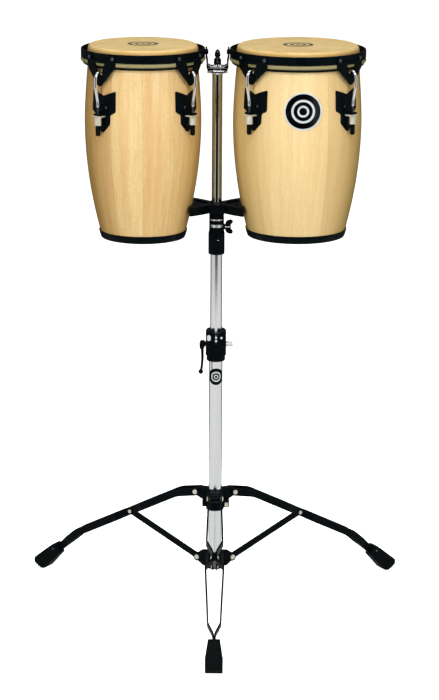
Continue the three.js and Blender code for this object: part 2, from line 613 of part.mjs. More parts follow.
function buildTripod(parent) {
  addPiece(parent, "base_tube", "chrome", sleeve(BASE_TUBE.inner, BASE_TUBE.outer, BASE_TUBE.bottom, BASE_TUBE.top));
  addPiece(parent, "lower_hub", "blackMetal", hub());
  addPiece(parent, "leg_collar", "blackMetal", collar());
  addPiece(parent, "collar_screw", "zinc", collarScrew());
  for (const [place, angle] of Object.entries(LEG_DIRECTIONS)) {
    const direction = new THREE.Group();
    direction.rotation.z = THREE.MathUtils.degToRad(angle);
    parent.add(direction);
    addPiece(direction, `leg_${place}`, "blackMetal", leg());
    addPiece(direction, `foot_${place}`, "rubber", foot());
    const braceMesh = addPiece(direction, `brace_${place}`, "blackMetal", brace());
    braceMesh.position.set(PIVOT_RADIUS, 0, HUB_PIVOT);
    braceMesh.rotation.y = -BRACE_RISE;
  }
}

function buildColumn(parent) {
  addPiece(parent, "lever_clamp", "blackMetal", leverClamp());
  addPiece(parent, "clamp_bolt", "zinc", clampBolt());
  addPiece(parent, "clamp_lever", "blackMetal", clampLever());
  addPiece(parent, "upper_tube", "chrome", sleeve(UPPER_TUBE.inner, UPPER_TUBE.outer, UPPER_TUBE.bottom, UPPER_TUBE.top));
  addPiece(parent, "sleeve_clamp", "blackMetal", sleeveClamp());
  addPiece(parent, "wing_bolt", "blackMetal", wingBolt());
  addPiece(parent, "drum_post", "chrome", sleeve(POST.inner, POST.outer, POST.bottom, POST.top));
  addPiece(parent, "cradle", "blackMetal", cradle());
  addPiece(parent, "clamp_tray", "chrome", tray());
  addPiece(parent, "clamp_plate", "zinc", clampPlate());
  addPiece(parent, "top_knob", "blackMetal", topKnob());
}

// ---------------------------------------------------------------- assembly
const congaDrums = new THREE.Group();
congaDrums.position.y = POLE_SETBACK;
buildTripod(congaDrums);
buildColumn(congaDrums);
buildDrum(congaDrums, LEFT);
const rightDrum = buildDrum(congaDrums, RIGHT);
addPiece(rightDrum, "right_badge", "badge", badge(RIGHT));

export default congaDrums;
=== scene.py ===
import math

import bmesh
import bpy
from mathutils import Matrix, Vector


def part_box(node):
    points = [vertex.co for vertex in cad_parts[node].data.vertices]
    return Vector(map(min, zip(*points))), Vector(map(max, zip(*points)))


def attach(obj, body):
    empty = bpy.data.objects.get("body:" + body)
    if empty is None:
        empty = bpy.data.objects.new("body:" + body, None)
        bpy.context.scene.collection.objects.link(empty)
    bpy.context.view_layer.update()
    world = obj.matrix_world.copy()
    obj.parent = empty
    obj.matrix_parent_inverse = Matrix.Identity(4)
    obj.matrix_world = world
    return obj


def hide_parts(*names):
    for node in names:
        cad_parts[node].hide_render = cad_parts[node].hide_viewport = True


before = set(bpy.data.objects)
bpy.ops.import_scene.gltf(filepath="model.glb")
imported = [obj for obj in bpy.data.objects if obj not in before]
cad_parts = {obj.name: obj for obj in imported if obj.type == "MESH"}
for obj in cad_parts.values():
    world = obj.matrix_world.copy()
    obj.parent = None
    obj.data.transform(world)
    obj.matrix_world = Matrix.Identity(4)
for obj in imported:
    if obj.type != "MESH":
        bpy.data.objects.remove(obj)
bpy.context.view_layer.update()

MM = 0.001
UPRIGHT = Matrix.Rotation(math.radians(90), 4, "X")


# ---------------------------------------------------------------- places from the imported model
def box_mm(node):
    low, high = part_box(node)
    return low / MM, high / MM


def middle(node):
    low, high = box_mm(node)
    return (low + high) / 2


class Drum:
    """The places and sizes of one drum, read from its CAD nodes."""

    def __init__(self, side, lug_turn):
        shell_low, self.shell_high = box_mm(f"{side}_shell")
        head_low, head_high = box_mm(f"{side}_head")
        hoop_high = box_mm(f"{side}_hoop")[1]
        ring_low, ring_high = box_mm(f"{side}_bottom_ring")
        nut_high = box_mm(f"{side}_tuning_nut_front_left")[1]
        self.side = side
        self.axis = middle(f"{side}_shell")
        self.radius = (head_high.x - head_low.x) / 2 - 0.6  # the hoop's outer radius
        self.bottom = shell_low.z
        self.head_top = head_high.z
        self.tuck_bottom = head_low.z
        self.hoop_top = hoop_high.z
        self.ring_bottom, self.ring_top = ring_low.z, ring_high.z
        self.nut_top = nut_high.z
        self.lug_turn = lug_turn

    def wood(self, height):
        """Outer radius of the wood at a height."""
        above = height - BELLY_HEIGHT
        drawn_in = 0.0059 * above**1.5 if above > 0 else 0.00065 * above**2
        return self.radius - BELLY_INSET - drawn_in


BELLY_HEIGHT = 937
BELLY_INSET = 6.3
LUGS = {"front_left": -45, "front_right": 45, "back_right": 135, "back_left": -135}
DIRECTIONS = {"front": -90, "back_right": 30, "back_left": 150}
POLE = middle("base_tube")
DRUMS = [Drum("left", 4.5), Drum("right", 2.5)]


# ---------------------------------------------------------------- outlines
def circle(radius, steps=12):
    angles = [2 * math.pi * i / steps for i in range(steps)]
    return [(radius * math.cos(a), radius * math.sin(a)) for a in angles]


def arc(x, y, radius, start, end, steps=8):
    """Points on an arc between two angles in degrees."""
    angles = [math.radians(start + (end - start) * i / steps) for i in range(steps + 1)]
    return [(x + radius * math.cos(a), y + radius * math.sin(a)) for a in angles]


def quadratic(start, control, end, steps=12):
    """Points on a quadratic curve."""
    a, b, c = Vector(start), Vector(control), Vector(end)
    places = [i / steps for i in range(steps + 1)]
    return [tuple(a * (1 - t) ** 2 + b * 2 * t * (1 - t) + c * t**2) for t in places]


def shifted(points, x=0.0, y=0.0):
    return [(a + x, b + y) for a, b in points]


def mirrored(half, x=-1, y=1):
    """Half an outline, then its mirror image on the way back."""
    return [*half, *[(x * a, y * b) for a, b in reversed(half)]]


def bar_section(width, depth, corner=0.6):
    """A rectangle with rounded corners, width along the side and depth across it."""
    points = []
    for x, y, start in [(1, 1, 0), (-1, 1, 90), (-1, -1, 180), (1, -1, 270)]:
        points += arc(x * (width / 2 - corner), y * (depth / 2 - corner), corner, start, start + 90, 3)
    return points


def smooth_line(points, steps=6):
    """A Catmull-Rom curve through points."""
    vectors = [Vector(p) for p in points]
    ends = [2 * vectors[0] - vectors[1], *vectors, 2 * vectors[-1] - vectors[-2]]
    line = []
    for a, b, c, d in zip(ends, ends[1:], ends[2:], ends[3:]):
        for i in range(steps):
            t = i / steps
            line.append(0.5 * (2 * b + (c - a) * t + (2 * a - 5 * b + 4 * c - d) * t**2
                               + (3 * b - a - 3 * c + d) * t**3))
    return [*line, vectors[-1]]


# ---------------------------------------------------------------- shapes
def mesh_of(corners, faces):
    mesh = bpy.data.meshes.new("shape")
    mesh.from_pydata([tuple(corner) for corner in corners], [], faces)
    return edited(mesh)


def edited(mesh, change=None):
    """Runs a change on a mesh's bmesh and turns its faces outwards."""
    bm = bmesh.new()
    bm.from_mesh(mesh)
    bmesh.ops.remove_doubles(bm, verts=bm.verts, dist=1e-5)
    if change:
        change(bm)
    bmesh.ops.recalc_face_normals(bm, faces=bm.faces)
    bm.to_mesh(mesh)
    bm.free()
    return mesh


def bevelled(mesh, width, steps=2, sharp=32):
    def change(bm):
        edges = [e for e in bm.edges if e.is_manifold and e.calc_face_angle(0) > math.radians(sharp)]
        bmesh.ops.bevel(
            bm, geom=edges, offset=width, segments=steps, profile=0.5, affect="EDGES", clamp_overlap=True
        )
    return edited(mesh, change)


def bridged(rings):
    """Faces from each ring of corner numbers to the next one."""
    faces = []
    for low, high in zip(rings, rings[1:]):
        for i in range(len(low)):
            j = (i + 1) % len(low)
            face = list(dict.fromkeys([low[i], low[j], high[j], high[i]]))
            if len(face) > 2:
                faces.append(face)
    return faces


def lathe(profile, steps=48):
    """A [radius, height] profile turned about Z, closed unless it starts and ends on the axis."""
    corners, rings = [], []
    for radius, height in profile:
        if radius < 1e-6:
            rings.append([len(corners)] * steps)
            corners.append((0, 0, height))
            continue
        rings.append(list(range(len(corners), len(corners) + steps)))
        corners += [(x, y, height) for x, y in circle(radius, steps)]
    if profile[0][0] > 1e-6:
        rings.append(rings[0])
    return mesh_of(corners, bridged(rings))


def rod(radius, low, high, steps=24, axis="Z"):
    """A plain cylinder along an axis."""
    shape = lathe([(0, low), (radius, low), (radius, high), (0, high)], steps)
    return shape if axis == "Z" else turned(shape, 90, axis)


def prism(outline, start, end, edge=0.0, steps=2, upright=False):
    """An outline raised along Z, or drawn in X and Z and raised towards -Y when upright."""
    count = len(outline)
    corners = [(a, b, start) for a, b in outline] + [(a, b, end) for a, b in outline]
    sides = [(i, (i + 1) % count, count + (i + 1) % count, count + i) for i in range(count)]
    mesh = mesh_of(corners, [tuple(range(count)), tuple(range(count, 2 * count)), *sides])
    if edge:
        mesh = bevelled(mesh, edge, steps)
    if upright:
        mesh.transform(UPRIGHT)
    return mesh


def block(x0, x1, y0, y1, z0, z1, edge=0.5, steps=2):
    return prism([(x0, y0), (x1, y0), (x1, y1), (x0, y1)], z0, z1, edge, steps)


def sweep(path, section, side):
    """Carries a closed section along a path. Section and side may be functions of the step."""
    corners, rings = [], []
    for i, here in enumerate(path):
        along = (path[min(i + 1, len(path) - 1)] - path[max(i - 1, 0)]).normalized()
        across = side(i) if callable(side) else Vector(side)
        across = (across - along * across.dot(along)).normalized()
        upward = along.cross(across)
        points = section(i) if callable(section) else section
        rings.append(range(len(corners), len(corners) + len(points)))
        corners += [here + across * a + upward * b for a, b in points]
    return mesh_of(corners, [tuple(rings[0]), tuple(rings[-1]), *bridged(rings)])


def moved(mesh, x=0.0, y=0.0, z=0.0):
    mesh = mesh.copy()
    mesh.transform(Matrix.Translation((x, y, z)))
    return mesh


def turned(mesh, degrees, axis="Z"):
    mesh = mesh.copy()
    mesh.transform(Matrix.Rotation(math.radians(degrees), 4, axis))
    return mesh


def facing_front(mesh, x, y, z):
    """A shape turned about Z, laid down so that its axis points to the front."""
    return moved(turned(mesh, 90, "X"), x, y, z)


def together(*meshes):
    """Several closed shapes in one mesh."""
    bm = bmesh.new()
    for mesh in meshes:
        bm.from_mesh(mesh)
    whole = bpy.data.meshes.new("shape")
    bm.to_mesh(whole)
    bm.free()
    return whole


def around(mesh, angles):
    """Copies of a shape at several turns about Z, in one mesh."""
    return together(*[turned(mesh, angle) for angle in angles])


def combined(base, *others, operation="UNION"):
    """Joins closed shapes to a first one, or cuts them from it."""
    for other in others:
        holder = bpy.data.objects.new("base", base)
        tool = bpy.data.objects.new("tool", other)
        for thing in (holder, tool):
            bpy.context.scene.collection.objects.link(thing)
        modifier = holder.modifiers.new("combine", "BOOLEAN")
        modifier.operation, modifier.object, modifier.solver = operation, tool, "EXACT"
        graph = bpy.context.evaluated_depsgraph_get()
        base = bpy.data.meshes.new_from_object(holder.evaluated_get(graph))
        for thing in (holder, tool):
            bpy.data.objects.remove(thing)
    return edited(base)


def cut(base, *tools):
    return combined(base, *tools, operation="DIFFERENCE")


def wrapped(mesh, radius_at, flat_radius, step=4.0):
    """Bends a flat upright plate round Z. Depth towards -Y adds to the radius at each height."""
    def change(bm):
        xs = [v.co.x for v in bm.verts]
        zs = [v.co.z for v in bm.verts]
        rise = 2 * step
        columns = range(int(min(xs) / step), int(max(xs) / step) + 1)
        rows = range(int(min(zs) / rise) + 1, int(max(zs) / rise) + 1)
        planes = [((k * step, 0, 0), (1, 0, 0)) for k in columns]
        planes += [((0, 0, k * rise), (0, 0, 1)) for k in rows]
        for point, normal in planes:
            everything = bm.verts[:] + bm.edges[:] + bm.faces[:]
            bmesh.ops.bisect_plane(bm, geom=everything, plane_co=point, plane_no=normal, dist=1e-4)
        for v in bm.verts:
            radius = radius_at(v.co.z) - v.co.y
            angle = v.co.x / flat_radius
            v.co = (radius * math.sin(angle), -radius * math.cos(angle), v.co.z)
    return edited(mesh, change)


def screw_head(radius, height):
    """A domed head with a socket, standing on Z."""
    return lathe([
        (0, 0), (radius, 0), (radius, height * 0.45), (radius * 0.86, height * 0.82),
        (radius * 0.62, height), (radius * 0.42, height), (radius * 0.36, height * 0.5), (0, height * 0.45)
    ], 16)


def hex_nut(radius, bottom, top):
    """A hexagon with its corners turned off at both ends."""
    tip = radius * 0.93
    cone = lathe([
        (0, bottom), (tip, bottom), (radius * 1.02, bottom + 1.1), (radius * 1.02, top - 1.1), (tip, top),
        (0, top)
    ], 36)
    return combined(prism(circle(radius, 6), bottom, top), cone, operation="INTERSECT")


def tube(inner, outer, bottom, top, inside=(0.35, 0.35), outside=(0.35, 0.35)):
    """A tube whose edges are turned off by a width and a height."""
    edge = [(inner, inside[1]), (inner + inside[0], 0), (outer - outside[0], 0), (outer, outside[1])]
    return lathe([*shifted(edge, 0, bottom), *[(r, top - z) for r, z in reversed(edge)]], 56)


# ---------------------------------------------------------------- materials
class Nodes:
    """A node tree. Methods return output sockets; values may be numbers or sockets."""

    def __init__(self, owner):
        owner.use_nodes = True
        self.tree = owner.node_tree
        self.tree.nodes.clear()

    def feed(self, socket, value):
        if isinstance(value, bpy.types.NodeSocket):
            self.tree.links.new(value, socket)
        else:
            socket.default_value = value

    def node(self, kind, inputs, **settings):
        made = self.tree.nodes.new("ShaderNode" + kind)
        for key, value in settings.items():
            setattr(made, key, value)
        for key, value in inputs.items():
            self.feed(made.inputs[key], value)
        return made

    def coords(self):
        return self.node("TexCoord", {}).outputs["Object"]

    def split(self, vector):
        made = self.node("SeparateXYZ", {0: vector})
        return made.outputs[0], made.outputs[1], made.outputs[2]

    def point(self, x, y, z):
        return self.node("CombineXYZ", {0: x, 1: y, 2: z}).outputs[0]

    def stretched(self, vector, x, y, z):
        return self.node("Mapping", {"Vector": vector, "Scale": (x, y, z)}).outputs[0]

    def maths(self, operation, a, b=0.0, c=0.0):
        return self.node("Math", {0: a, 1: b, 2: c}, operation=operation).outputs[0]

    def times(self, a, b):
        return self.maths("MULTIPLY", a, b)

    def noise(self, vector, scale, detail=4.0, roughness=0.55, distortion=0.0):
        values = {
            "Vector": vector, "Scale": scale, "Detail": detail, "Roughness": roughness,
            "Distortion": distortion
        }
        return self.node("TexNoise", values).outputs[0]

    def spread(self, value, low, high, to_low=0.0, to_high=1.0, kind="LINEAR"):
        values = {"Value": value, "From Min": low, "From Max": high, "To Min": to_low, "To Max": to_high}
        return self.node("MapRange", values, interpolation_type=kind).outputs[0]

    def mix(self, factor, a, b, blend="MIX"):
        made = self.node("Mix", {0: factor, 6: a, 7: b}, data_type="RGBA", blend_type=blend)
        return made.outputs[2]

    def ramp(self, value, *stops):
        made = self.node("ValToRGB", {0: value})
        elements = made.color_ramp.elements
        while len(elements) < len(stops):
            elements.new(0.5)
        for element, (position, colour) in zip(elements, stops):
            element.position, element.color = position, colour
        return made.outputs[0]

    def bump(self, height, distance, strength=1.0):
        values = {"Height": height, "Distance": distance, "Strength": strength}
        return self.node("Bump", values).outputs[0]

    def ring(self, radius, inner, outer, soft=0.0003):
        """1 between two radii, with soft edges."""
        rises = self.spread(radius, inner - soft, inner + soft)
        falls = self.spread(radius, outer - soft, outer + soft, 1.0, 0.0)
        return self.times(rises, falls)


class Graph(Nodes):
    """A material with one principled shader."""

    def __init__(self, name, **constants):
        self.material = bpy.data.materials.new(name)
        super().__init__(self.material)
        self.shader = self.node("BsdfPrincipled", {})
        self.node("OutputMaterial", {"Surface": self.shader.outputs[0]})
        self.surface(**constants)

    def surface(self, **sockets):
        for key, value in sockets.items():
            self.feed(self.shader.inputs[key.replace("_", " ")], value)


def rgb(*display):
    """A display colour of 0 to 255 as a linear one."""
    parts = [c / 255 for c in display]
    return (*[c / 12.92 if c <= 0.04045 else ((c + 0.055) / 1.055) ** 2.4 for c in parts], 1.0)


def wood_material(name, staves, phase, stave_width, tones, paleness, lacquered=True):
    """Glued vertical staves, each with its own tone and straight grain."""
    coat = dict(
        Coat_Weight=1.0, Coat_Roughness=0.22, Coat_IOR=1.15, Coat_Tint=(0.93, 0.85, 0.56, 1)
    ) if lacquered else {}
    g = Graph(name, Specular_IOR_Level=0.25, **coat)
    x, y, z = g.split(g.coords())
    turn = g.maths("MULTIPLY_ADD", g.maths("ARCTAN2", y, x), staves / (2 * math.pi), phase)
    stave = g.maths("FLOOR", turn)
    within = g.maths("FRACT", turn)
    tone = g.maths("FRACT", g.maths("MULTIPLY_ADD", stave, *tones))
    across = g.times(turn, stave_width)
    sway = g.times(g.noise(g.point(stave, z, 0.0), 6.0, 2.0), 0.014)
    flow = g.maths("ADD", across, sway)
    offset = g.maths("MULTIPLY_ADD", tone, 3.7, z)
    along = g.point(flow, g.times(tone, 5.0), g.times(offset, 0.05))
    broad = g.noise(along, 70.0, 2.0, 0.5, 0.3)
    fine = g.noise(along, 380.0, 4.0, 0.65, 0.2)
    fibre = g.noise(g.point(flow, 0.0, g.times(offset, 0.03)), 1300.0, 2.0, 0.6)
    dashes = g.noise(g.point(flow, 0.0, g.times(offset, 0.14)), 1100.0, 1.0, 0.5)
    pores = g.spread(dashes, 0.60, 0.70)
    value = g.maths("MULTIPLY_ADD", broad, 0.5, g.times(fine, 0.5))
    grain = g.ramp(
        value, (0.30, rgb(221, 188, 156)), (0.44, rgb(236, 210, 182)), (0.56, rgb(244, 225, 202)),
        (0.72, rgb(251, 240, 224))
    )
    blush = g.noise(g.point(flow, tone, g.times(offset, 0.08)), 34.0, 2.0)
    blushed = g.mix(g.spread(blush, 0.52, 0.72, 0.0, 0.5), grain, rgb(228, 180, 138))
    toned = g.mix(g.spread(tone, 0.0, 1.0, 0.0, 0.5), blushed, rgb(196, 136, 84), "MULTIPLY")
    fibred = g.mix(g.spread(fibre, 0.35, 0.65, 0.20, 0.0), toned, rgb(164, 104, 54))
    pored = g.mix(g.times(pores, 0.42), fibred, rgb(150, 92, 44))
    edge = g.maths("ABSOLUTE", g.maths("SUBTRACT", within, 0.5))
    joint = g.spread(edge, 0.490, 0.497, 0.0, 0.35)
    colour = g.mix(paleness, g.mix(joint, pored, rgb(136, 86, 42)), rgb(252, 242, 226))
    if not lacquered:
        colour = g.mix(0.35, colour, rgb(196, 168, 128))
    relief = g.maths("SUBTRACT", fine, g.times(pores, 0.4))
    rough = (0.30, 0.42) if lacquered else (0.72, 0.88)
    g.surface(
        Base_Color=colour, Roughness=g.spread(fine, 0.3, 0.7, *rough),
        Normal=g.bump(relief, 0.00025, 0.25 if lacquered else 0.8)
    )
    return g.material


def skin_material(name, print_radius=0.0284):
    """A natural drum skin with cloudy patches, a generic mark of rings on its middle, and painted shade on
    the roll below the hoop.
    """
    g = Graph(
        name, Specular_IOR_Level=0.4, Subsurface_Weight=0.04, Subsurface_Scale=0.004, Sheen_Weight=0.05
    )
    position = g.coords()
    x, y, z = g.split(position)
    radius = g.maths("SQRT", g.maths("ADD", g.times(x, x), g.times(y, y)))
    clouds = g.noise(position, 16.0, 5.0, 0.6, 0.8)
    patches = g.noise(g.stretched(position, 1.0, 0.45, 1.0), 60.0, 5.0, 0.65, 0.6)
    fibres = g.noise(g.stretched(position, 0.35, 1.0, 1.0), 900.0, 3.0, 0.7)
    value = g.maths("MULTIPLY_ADD", clouds, 0.6, g.times(patches, 0.4))
    base = g.ramp(
        value, (0.30, rgb(204, 172, 106)), (0.46, rgb(220, 190, 126)), (0.60, rgb(230, 203, 142)),
        (0.74, rgb(239, 217, 163))
    )
    flecked = g.mix(g.spread(fibres, 0.38, 0.62, 0.14, 0.0), base, rgb(150, 116, 60))
    edge = g.mix(g.spread(z, 1.069, 1.0765, 0.8, 0.0), flecked, rgb(190, 148, 82))
    # Painted shade: the skin's roll below the hoop's bottom edge is mixed towards a dark olive, standing in
    # for the shadow under the hoop.
    low = g.spread(z, 1.0535, 1.0555, 0.85, 0.0)
    roll_painted_shade = g.mix(low, edge, rgb(132, 132, 96))
    outer = g.ring(radius, print_radius - 0.007, print_radius)
    inner = g.ring(radius, 0.0095, 0.0155)
    dot = g.ring(radius, -0.001, 0.0042)
    marks = g.maths("MAXIMUM", g.maths("MAXIMUM", outer, inner), dot)
    ink = g.times(marks, g.spread(patches, 0.25, 0.45, 0.82, 0.95))
    colour = g.mix(ink, roll_painted_shade, rgb(38, 50, 50))
    g.surface(
        Base_Color=colour, Roughness=g.spread(patches, 0.3, 0.7, 0.42, 0.58),
        Normal=g.bump(g.maths("ADD", fibres, patches), 0.0002, 0.30)
    )
    return g.material


def black_material(name, colour, roughness, grain_scale, grain_depth, gloss):
    """A black finish with a fine texture and faint rubbed patches."""
    g = Graph(name, Specular_IOR_Level=gloss)
    position = g.coords()
    texture = g.noise(position, grain_scale, 3.0, 0.6)
    rubbed = g.noise(position, 45.0, 4.0, 0.65)
    lighter = tuple(c * 1.8 + 0.001 for c in colour[:3]) + (1.0,)
    g.surface(
        Base_Color=g.mix(g.spread(rubbed, 0.48, 0.75), colour, lighter),
        Roughness=g.spread(rubbed, 0.3, 0.7, roughness - 0.06, roughness + 0.1),
        Normal=g.bump(texture, grain_depth, 0.35)
    )
    return g.material


def metal_material(name, colour, tint, roughness, brushed=(1.0, 1.0, 1.0), metallic=1.0, scale=220.0):
    """Bare or plated metal with fine handling marks along one direction."""
    g = Graph(name, Metallic=metallic)
    position = g.stretched(g.coords(), *brushed)
    marks = g.noise(position, scale, 4.0, 0.7)
    clouds = g.noise(position, scale / 9, 3.0, 0.6)
    g.surface(
        Base_Color=g.mix(g.spread(clouds, 0.42, 0.68), colour, tint),
        Roughness=g.spread(marks, 0.3, 0.75, roughness * 0.8, roughness * 1.3 + 0.01),
        Normal=g.bump(marks, 0.00001, 0.12)
    )
    return g.material


def rubber_material(name):
    g = Graph(name, Specular_IOR_Level=0.07)
    position = g.coords()
    dust = g.noise(position, 70.0, 5.0, 0.7)
    grain = g.noise(position, 1400.0, 3.0, 0.7)
    g.surface(
        Base_Color=g.mix(g.spread(dust, 0.45, 0.8, 0.0, 0.4), rgb(4, 8, 10), rgb(18, 20, 21)),
        Roughness=g.spread(dust, 0.3, 0.7, 0.55, 0.78), Normal=g.bump(grain, 0.0002, 0.5)
    )
    return g.material


BLACK_METAL = black_material("black_powder_coat", rgb(1, 6, 9), 0.34, 1500.0, 0.00006, 0.06)
BLACK_PLASTIC = black_material("black_nylon", rgb(1, 4, 6), 0.38, 900.0, 0.00010, 0.06)
BLACK_GLOSS = black_material("black_gloss", rgb(3, 4, 5), 0.12, 300.0, 0.00001, 0.4)
DARK_SCREW = metal_material("dark_screw", rgb(96, 106, 112), rgb(70, 78, 84), 0.3)
CHROME = metal_material("polished_chrome", rgb(236, 238, 240), rgb(222, 225, 229), 0.06)
POST_CHROME = metal_material("post_chrome", rgb(196, 204, 196), rgb(182, 190, 182), 0.05, (1.0, 1.0, 0.05))
TUBE_METAL = metal_material(
    "satin_chrome_tube", rgb(247, 249, 250), rgb(238, 240, 242), 0.11, (1.0, 1.0, 0.03)
)
ZINC = metal_material("zinc_plate", rgb(238, 234, 218), rgb(220, 213, 194), 0.42, metallic=0.7)
# Dark steel for the lug threads; the clamp bolt's rod also takes it so that the stretch seen in the clamp's
# slit stays dark, which is painted shade.
THREAD_METAL = metal_material("dark_thread_steel", rgb(92, 102, 106), rgb(50, 58, 62), 0.32)
SILVER = metal_material("badge_silver", rgb(222, 226, 230), rgb(204, 209, 215), 0.35, metallic=0.35)
NICKEL = metal_material("satin_nickel", rgb(240, 243, 246), rgb(226, 231, 236), 0.2, metallic=0.8)
RUBBER = rubber_material("rubber")
SKIN = skin_material("drum_skin")


# ---------------------------------------------------------------- pieces
def piece(name, mesh, material, body, replaces=(), axis=POLE, turn=0.0, sharp=38):
    """Turns a shape into an object of the model, in metres, riding on a CAD body."""
    mesh = mesh.copy()
    mesh.transform(Matrix.Scale(MM, 4))
    mesh.name = name
    mesh.materials.clear()
    for each in material if isinstance(material, (list, tuple)) else [material]:
        mesh.materials.append(each)
    mesh.shade_smooth()
    mesh.set_sharp_from_angle(angle=math.radians(sharp))
    made = bpy.data.objects.new(name, mesh)
    bpy.context.scene.collection.objects.link(made)
    made.location = (axis.x * MM, axis.y * MM, 0)
    made.rotation_euler.z = math.radians(turn)
    normals = made.modifiers.new("even_normals", "WEIGHTED_NORMAL")
    normals.keep_sharp = True
    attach(made, body)
    if replaces:
        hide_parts(*([replaces] if isinstance(replaces, str) else replaces))
    return made


# ---------------------------------------------------------------- drums
SHELL_WALL = 9
HOOP_BOTTOM = 1054
HOOK_OFFSET = 7.6
CARRIER = "drum_carrier"
DRUM_STEPS = 144
PAD_OFFSET, PAD_HEIGHT = 28.4, 1061.4
PLATE_MIDDLE = 965


def drum_piece(drum, label, mesh, material, node="", turn=0.0):
    replaces = f"{drum.side}_{node}" if node else ()
    piece(f"{drum.side}_{label}", mesh, material, CARRIER, replaces, drum.axis, turn)


def build_shell(drum, staves, phase, tones, paleness):
    top, foot, rise = drum.shell_high.z, drum.wood(drum.bottom), 44
    heights = [drum.bottom + 1.2 + (top - 3.2 - drum.bottom) * i / rise for i in range(rise + 1)]
    outside = [(drum.wood(h), h) for h in heights]
    inside = [(drum.wood(h) - SHELL_WALL, h) for h in reversed(heights)]
    low_edge = shifted([(1 - SHELL_WALL, 0), (-1, 0)], foot, drum.bottom)
    top_edge = shifted([(-1.4, -0.6), (-3, 0), (-5, -0.5)], drum.wood(top), top)
    mesh = lathe([*low_edge, *outside, *top_edge, *inside], DRUM_STEPS)
    width = 2 * math.pi * drum.wood(BELLY_HEIGHT) * MM / staves
    grain = (staves, phase, width, tones, paleness)
    lacquered = wood_material(f"{drum.side}_lacquered_staves", *grain)
    raw = wood_material(f"{drum.side}_raw_staves", *grain, lacquered=False)
    for face in mesh.polygons:
        radius = math.hypot(face.center.x, face.center.y)
        face.material_index = 1 if radius < drum.wood(face.center.z) - SHELL_WALL / 2 else 0
    drum_piece(drum, "staves", mesh, [lacquered, raw], "shell")


def build_head(drum):
    r, top, tuck = drum.radius, drum.head_top, drum.tuck_bottom
    crown = [
        (-60, 0), (-20, 0), (-18.2, -0.12), (-16.6, -0.6), (-15.3, -1.5), (-14.3, -2.8), (-13.5, -4.6),
        (-12.9, -7), (-12.4, -11), (-12.0, -16)
    ]
    under_hoop = [(-11.6, 0.6), (-10.8, -0.2), (-8, -0.5), (-3, -0.5), (-1.2, -1.0), (0.1, -2.4)]
    roll = [(0.55, 3.6), (0.1, 1.7), (-1.1, 0.5), (-2.8, 0), (-11.8, 0), (-12.4, 1)]
    inside = [(-12.5, -25), (-13.6, -15), (-14.6, -6), (-15.6, -3.6), (-17.2, -2.2), (-19, -1.8)]
    outer = [(0, top), *shifted(crown, r, top), *shifted(under_hoop, r, HOOP_BOTTOM)]
    mesh = lathe([*outer, *shifted(roll, r, tuck), *shifted(inside, r, top), (0, top - 1.8)], DRUM_STEPS)
    drum_piece(drum, "skin", mesh, SKIN, "head")
    # A thin black rubber ring under the skin's roll stands in for the shadow that the roll casts on the
    # wood: a painted shadow.
    section = [(-13.3, -4.4), (-4.6, -4.4), (-3.4, -3.4), (-3, -0.4), (-13.1, -0.3)]
    drum_piece(drum, "painted_shadow_ring", lathe(shifted(section, r, tuck), 120), RUBBER)


def strap_plate(drum, lift):
    """A V strap with a window for the hook, and its two thick ends."""
    tip = shifted([(2.2, 1010.3), (4, 1011.4), (6.2, 1013.9)], 0, lift)
    arm = [
        (32.6, 1044.2), (33.9, 1047.4), (34, 1061.8), *arc(28.6, 1062, 5.4, 0, 180, 10), (21.8, 1058.6),
        (20, 1057.4)
    ]
    plate = prism(mirrored([*tip, *arm]), 0, 2.7, upright=True)
    low = 1031.2 + lift
    window = [(5.4, low), (6.2, low + 0.9), (7.4, 1042), (11.4, 1050.6), (11.6, 1051.6), (10.8, 1052.4)]
    plate = bevelled(cut(plate, prism(mirrored(window), -2, 6, upright=True)), 0.55, 2)
    outer = drum.radius + 2.2
    plate = wrapped(plate, lambda z: drum.radius + 0.8, outer)
    pad = facing_front(rod(5, 0, 1.6, 20), 0, 0.4 - drum.radius, PAD_HEIGHT)
    pad_turn = math.degrees(PAD_OFFSET / outer)
    return together(plate, around(pad, (pad_turn, -pad_turn))), pad_turn


def build_hoop(drum, lift):
    r, top = drum.radius, drum.hoop_top
    low_edge = shifted([(-3, 0.4), (-2.6, 0), (-0.5, 0), (0, 0.5)], r, HOOP_BOTTOM)
    top_edge = shifted([(0, -1.2), (-0.35, -0.4), (-1.1, 0), (-2.2, 0), (-2.8, -0.4), (-3, -1)], r, top)
    band = lathe([*low_edge, *top_edge], DRUM_STEPS)
    strap, pad_turn = strap_plate(drum, lift)
    turns = [angle + drum.lug_turn for angle in LUGS.values()]
    drum_piece(drum, "hoop_band", together(band, around(strap, turns)), BLACK_METAL, "hoop")
    head = facing_front(screw_head(3.3, 1.9), 0, -(r + 3.3), PAD_HEIGHT)
    heads = around(head, [turn + offset for turn in turns for offset in (pad_turn, -pad_turn)])
    drum_piece(drum, "hoop_screws", heads, DARK_SCREW)


def thread(radius, depth, pitch, bottom, top, sides=12, per_turn=4):
    """A rod with a helical thread."""
    rows = int((top - bottom) / pitch * per_turn)
    corners, rings = [], []
    for row in range(rows + 1):
        height = bottom + (top - bottom) * row / rows
        rings.append(range(len(corners), len(corners) + sides))
        for i in range(sides):
            wave = ((height - bottom) / pitch - i / sides) % 1
            r = radius - depth * abs(2 * wave - 1)
            angle = 2 * math.pi * i / sides
            corners.append((r * math.cos(angle), r * math.sin(angle), height))
    return mesh_of(corners, [tuple(rings[0]), tuple(rings[-1]), *bridged(rings)])


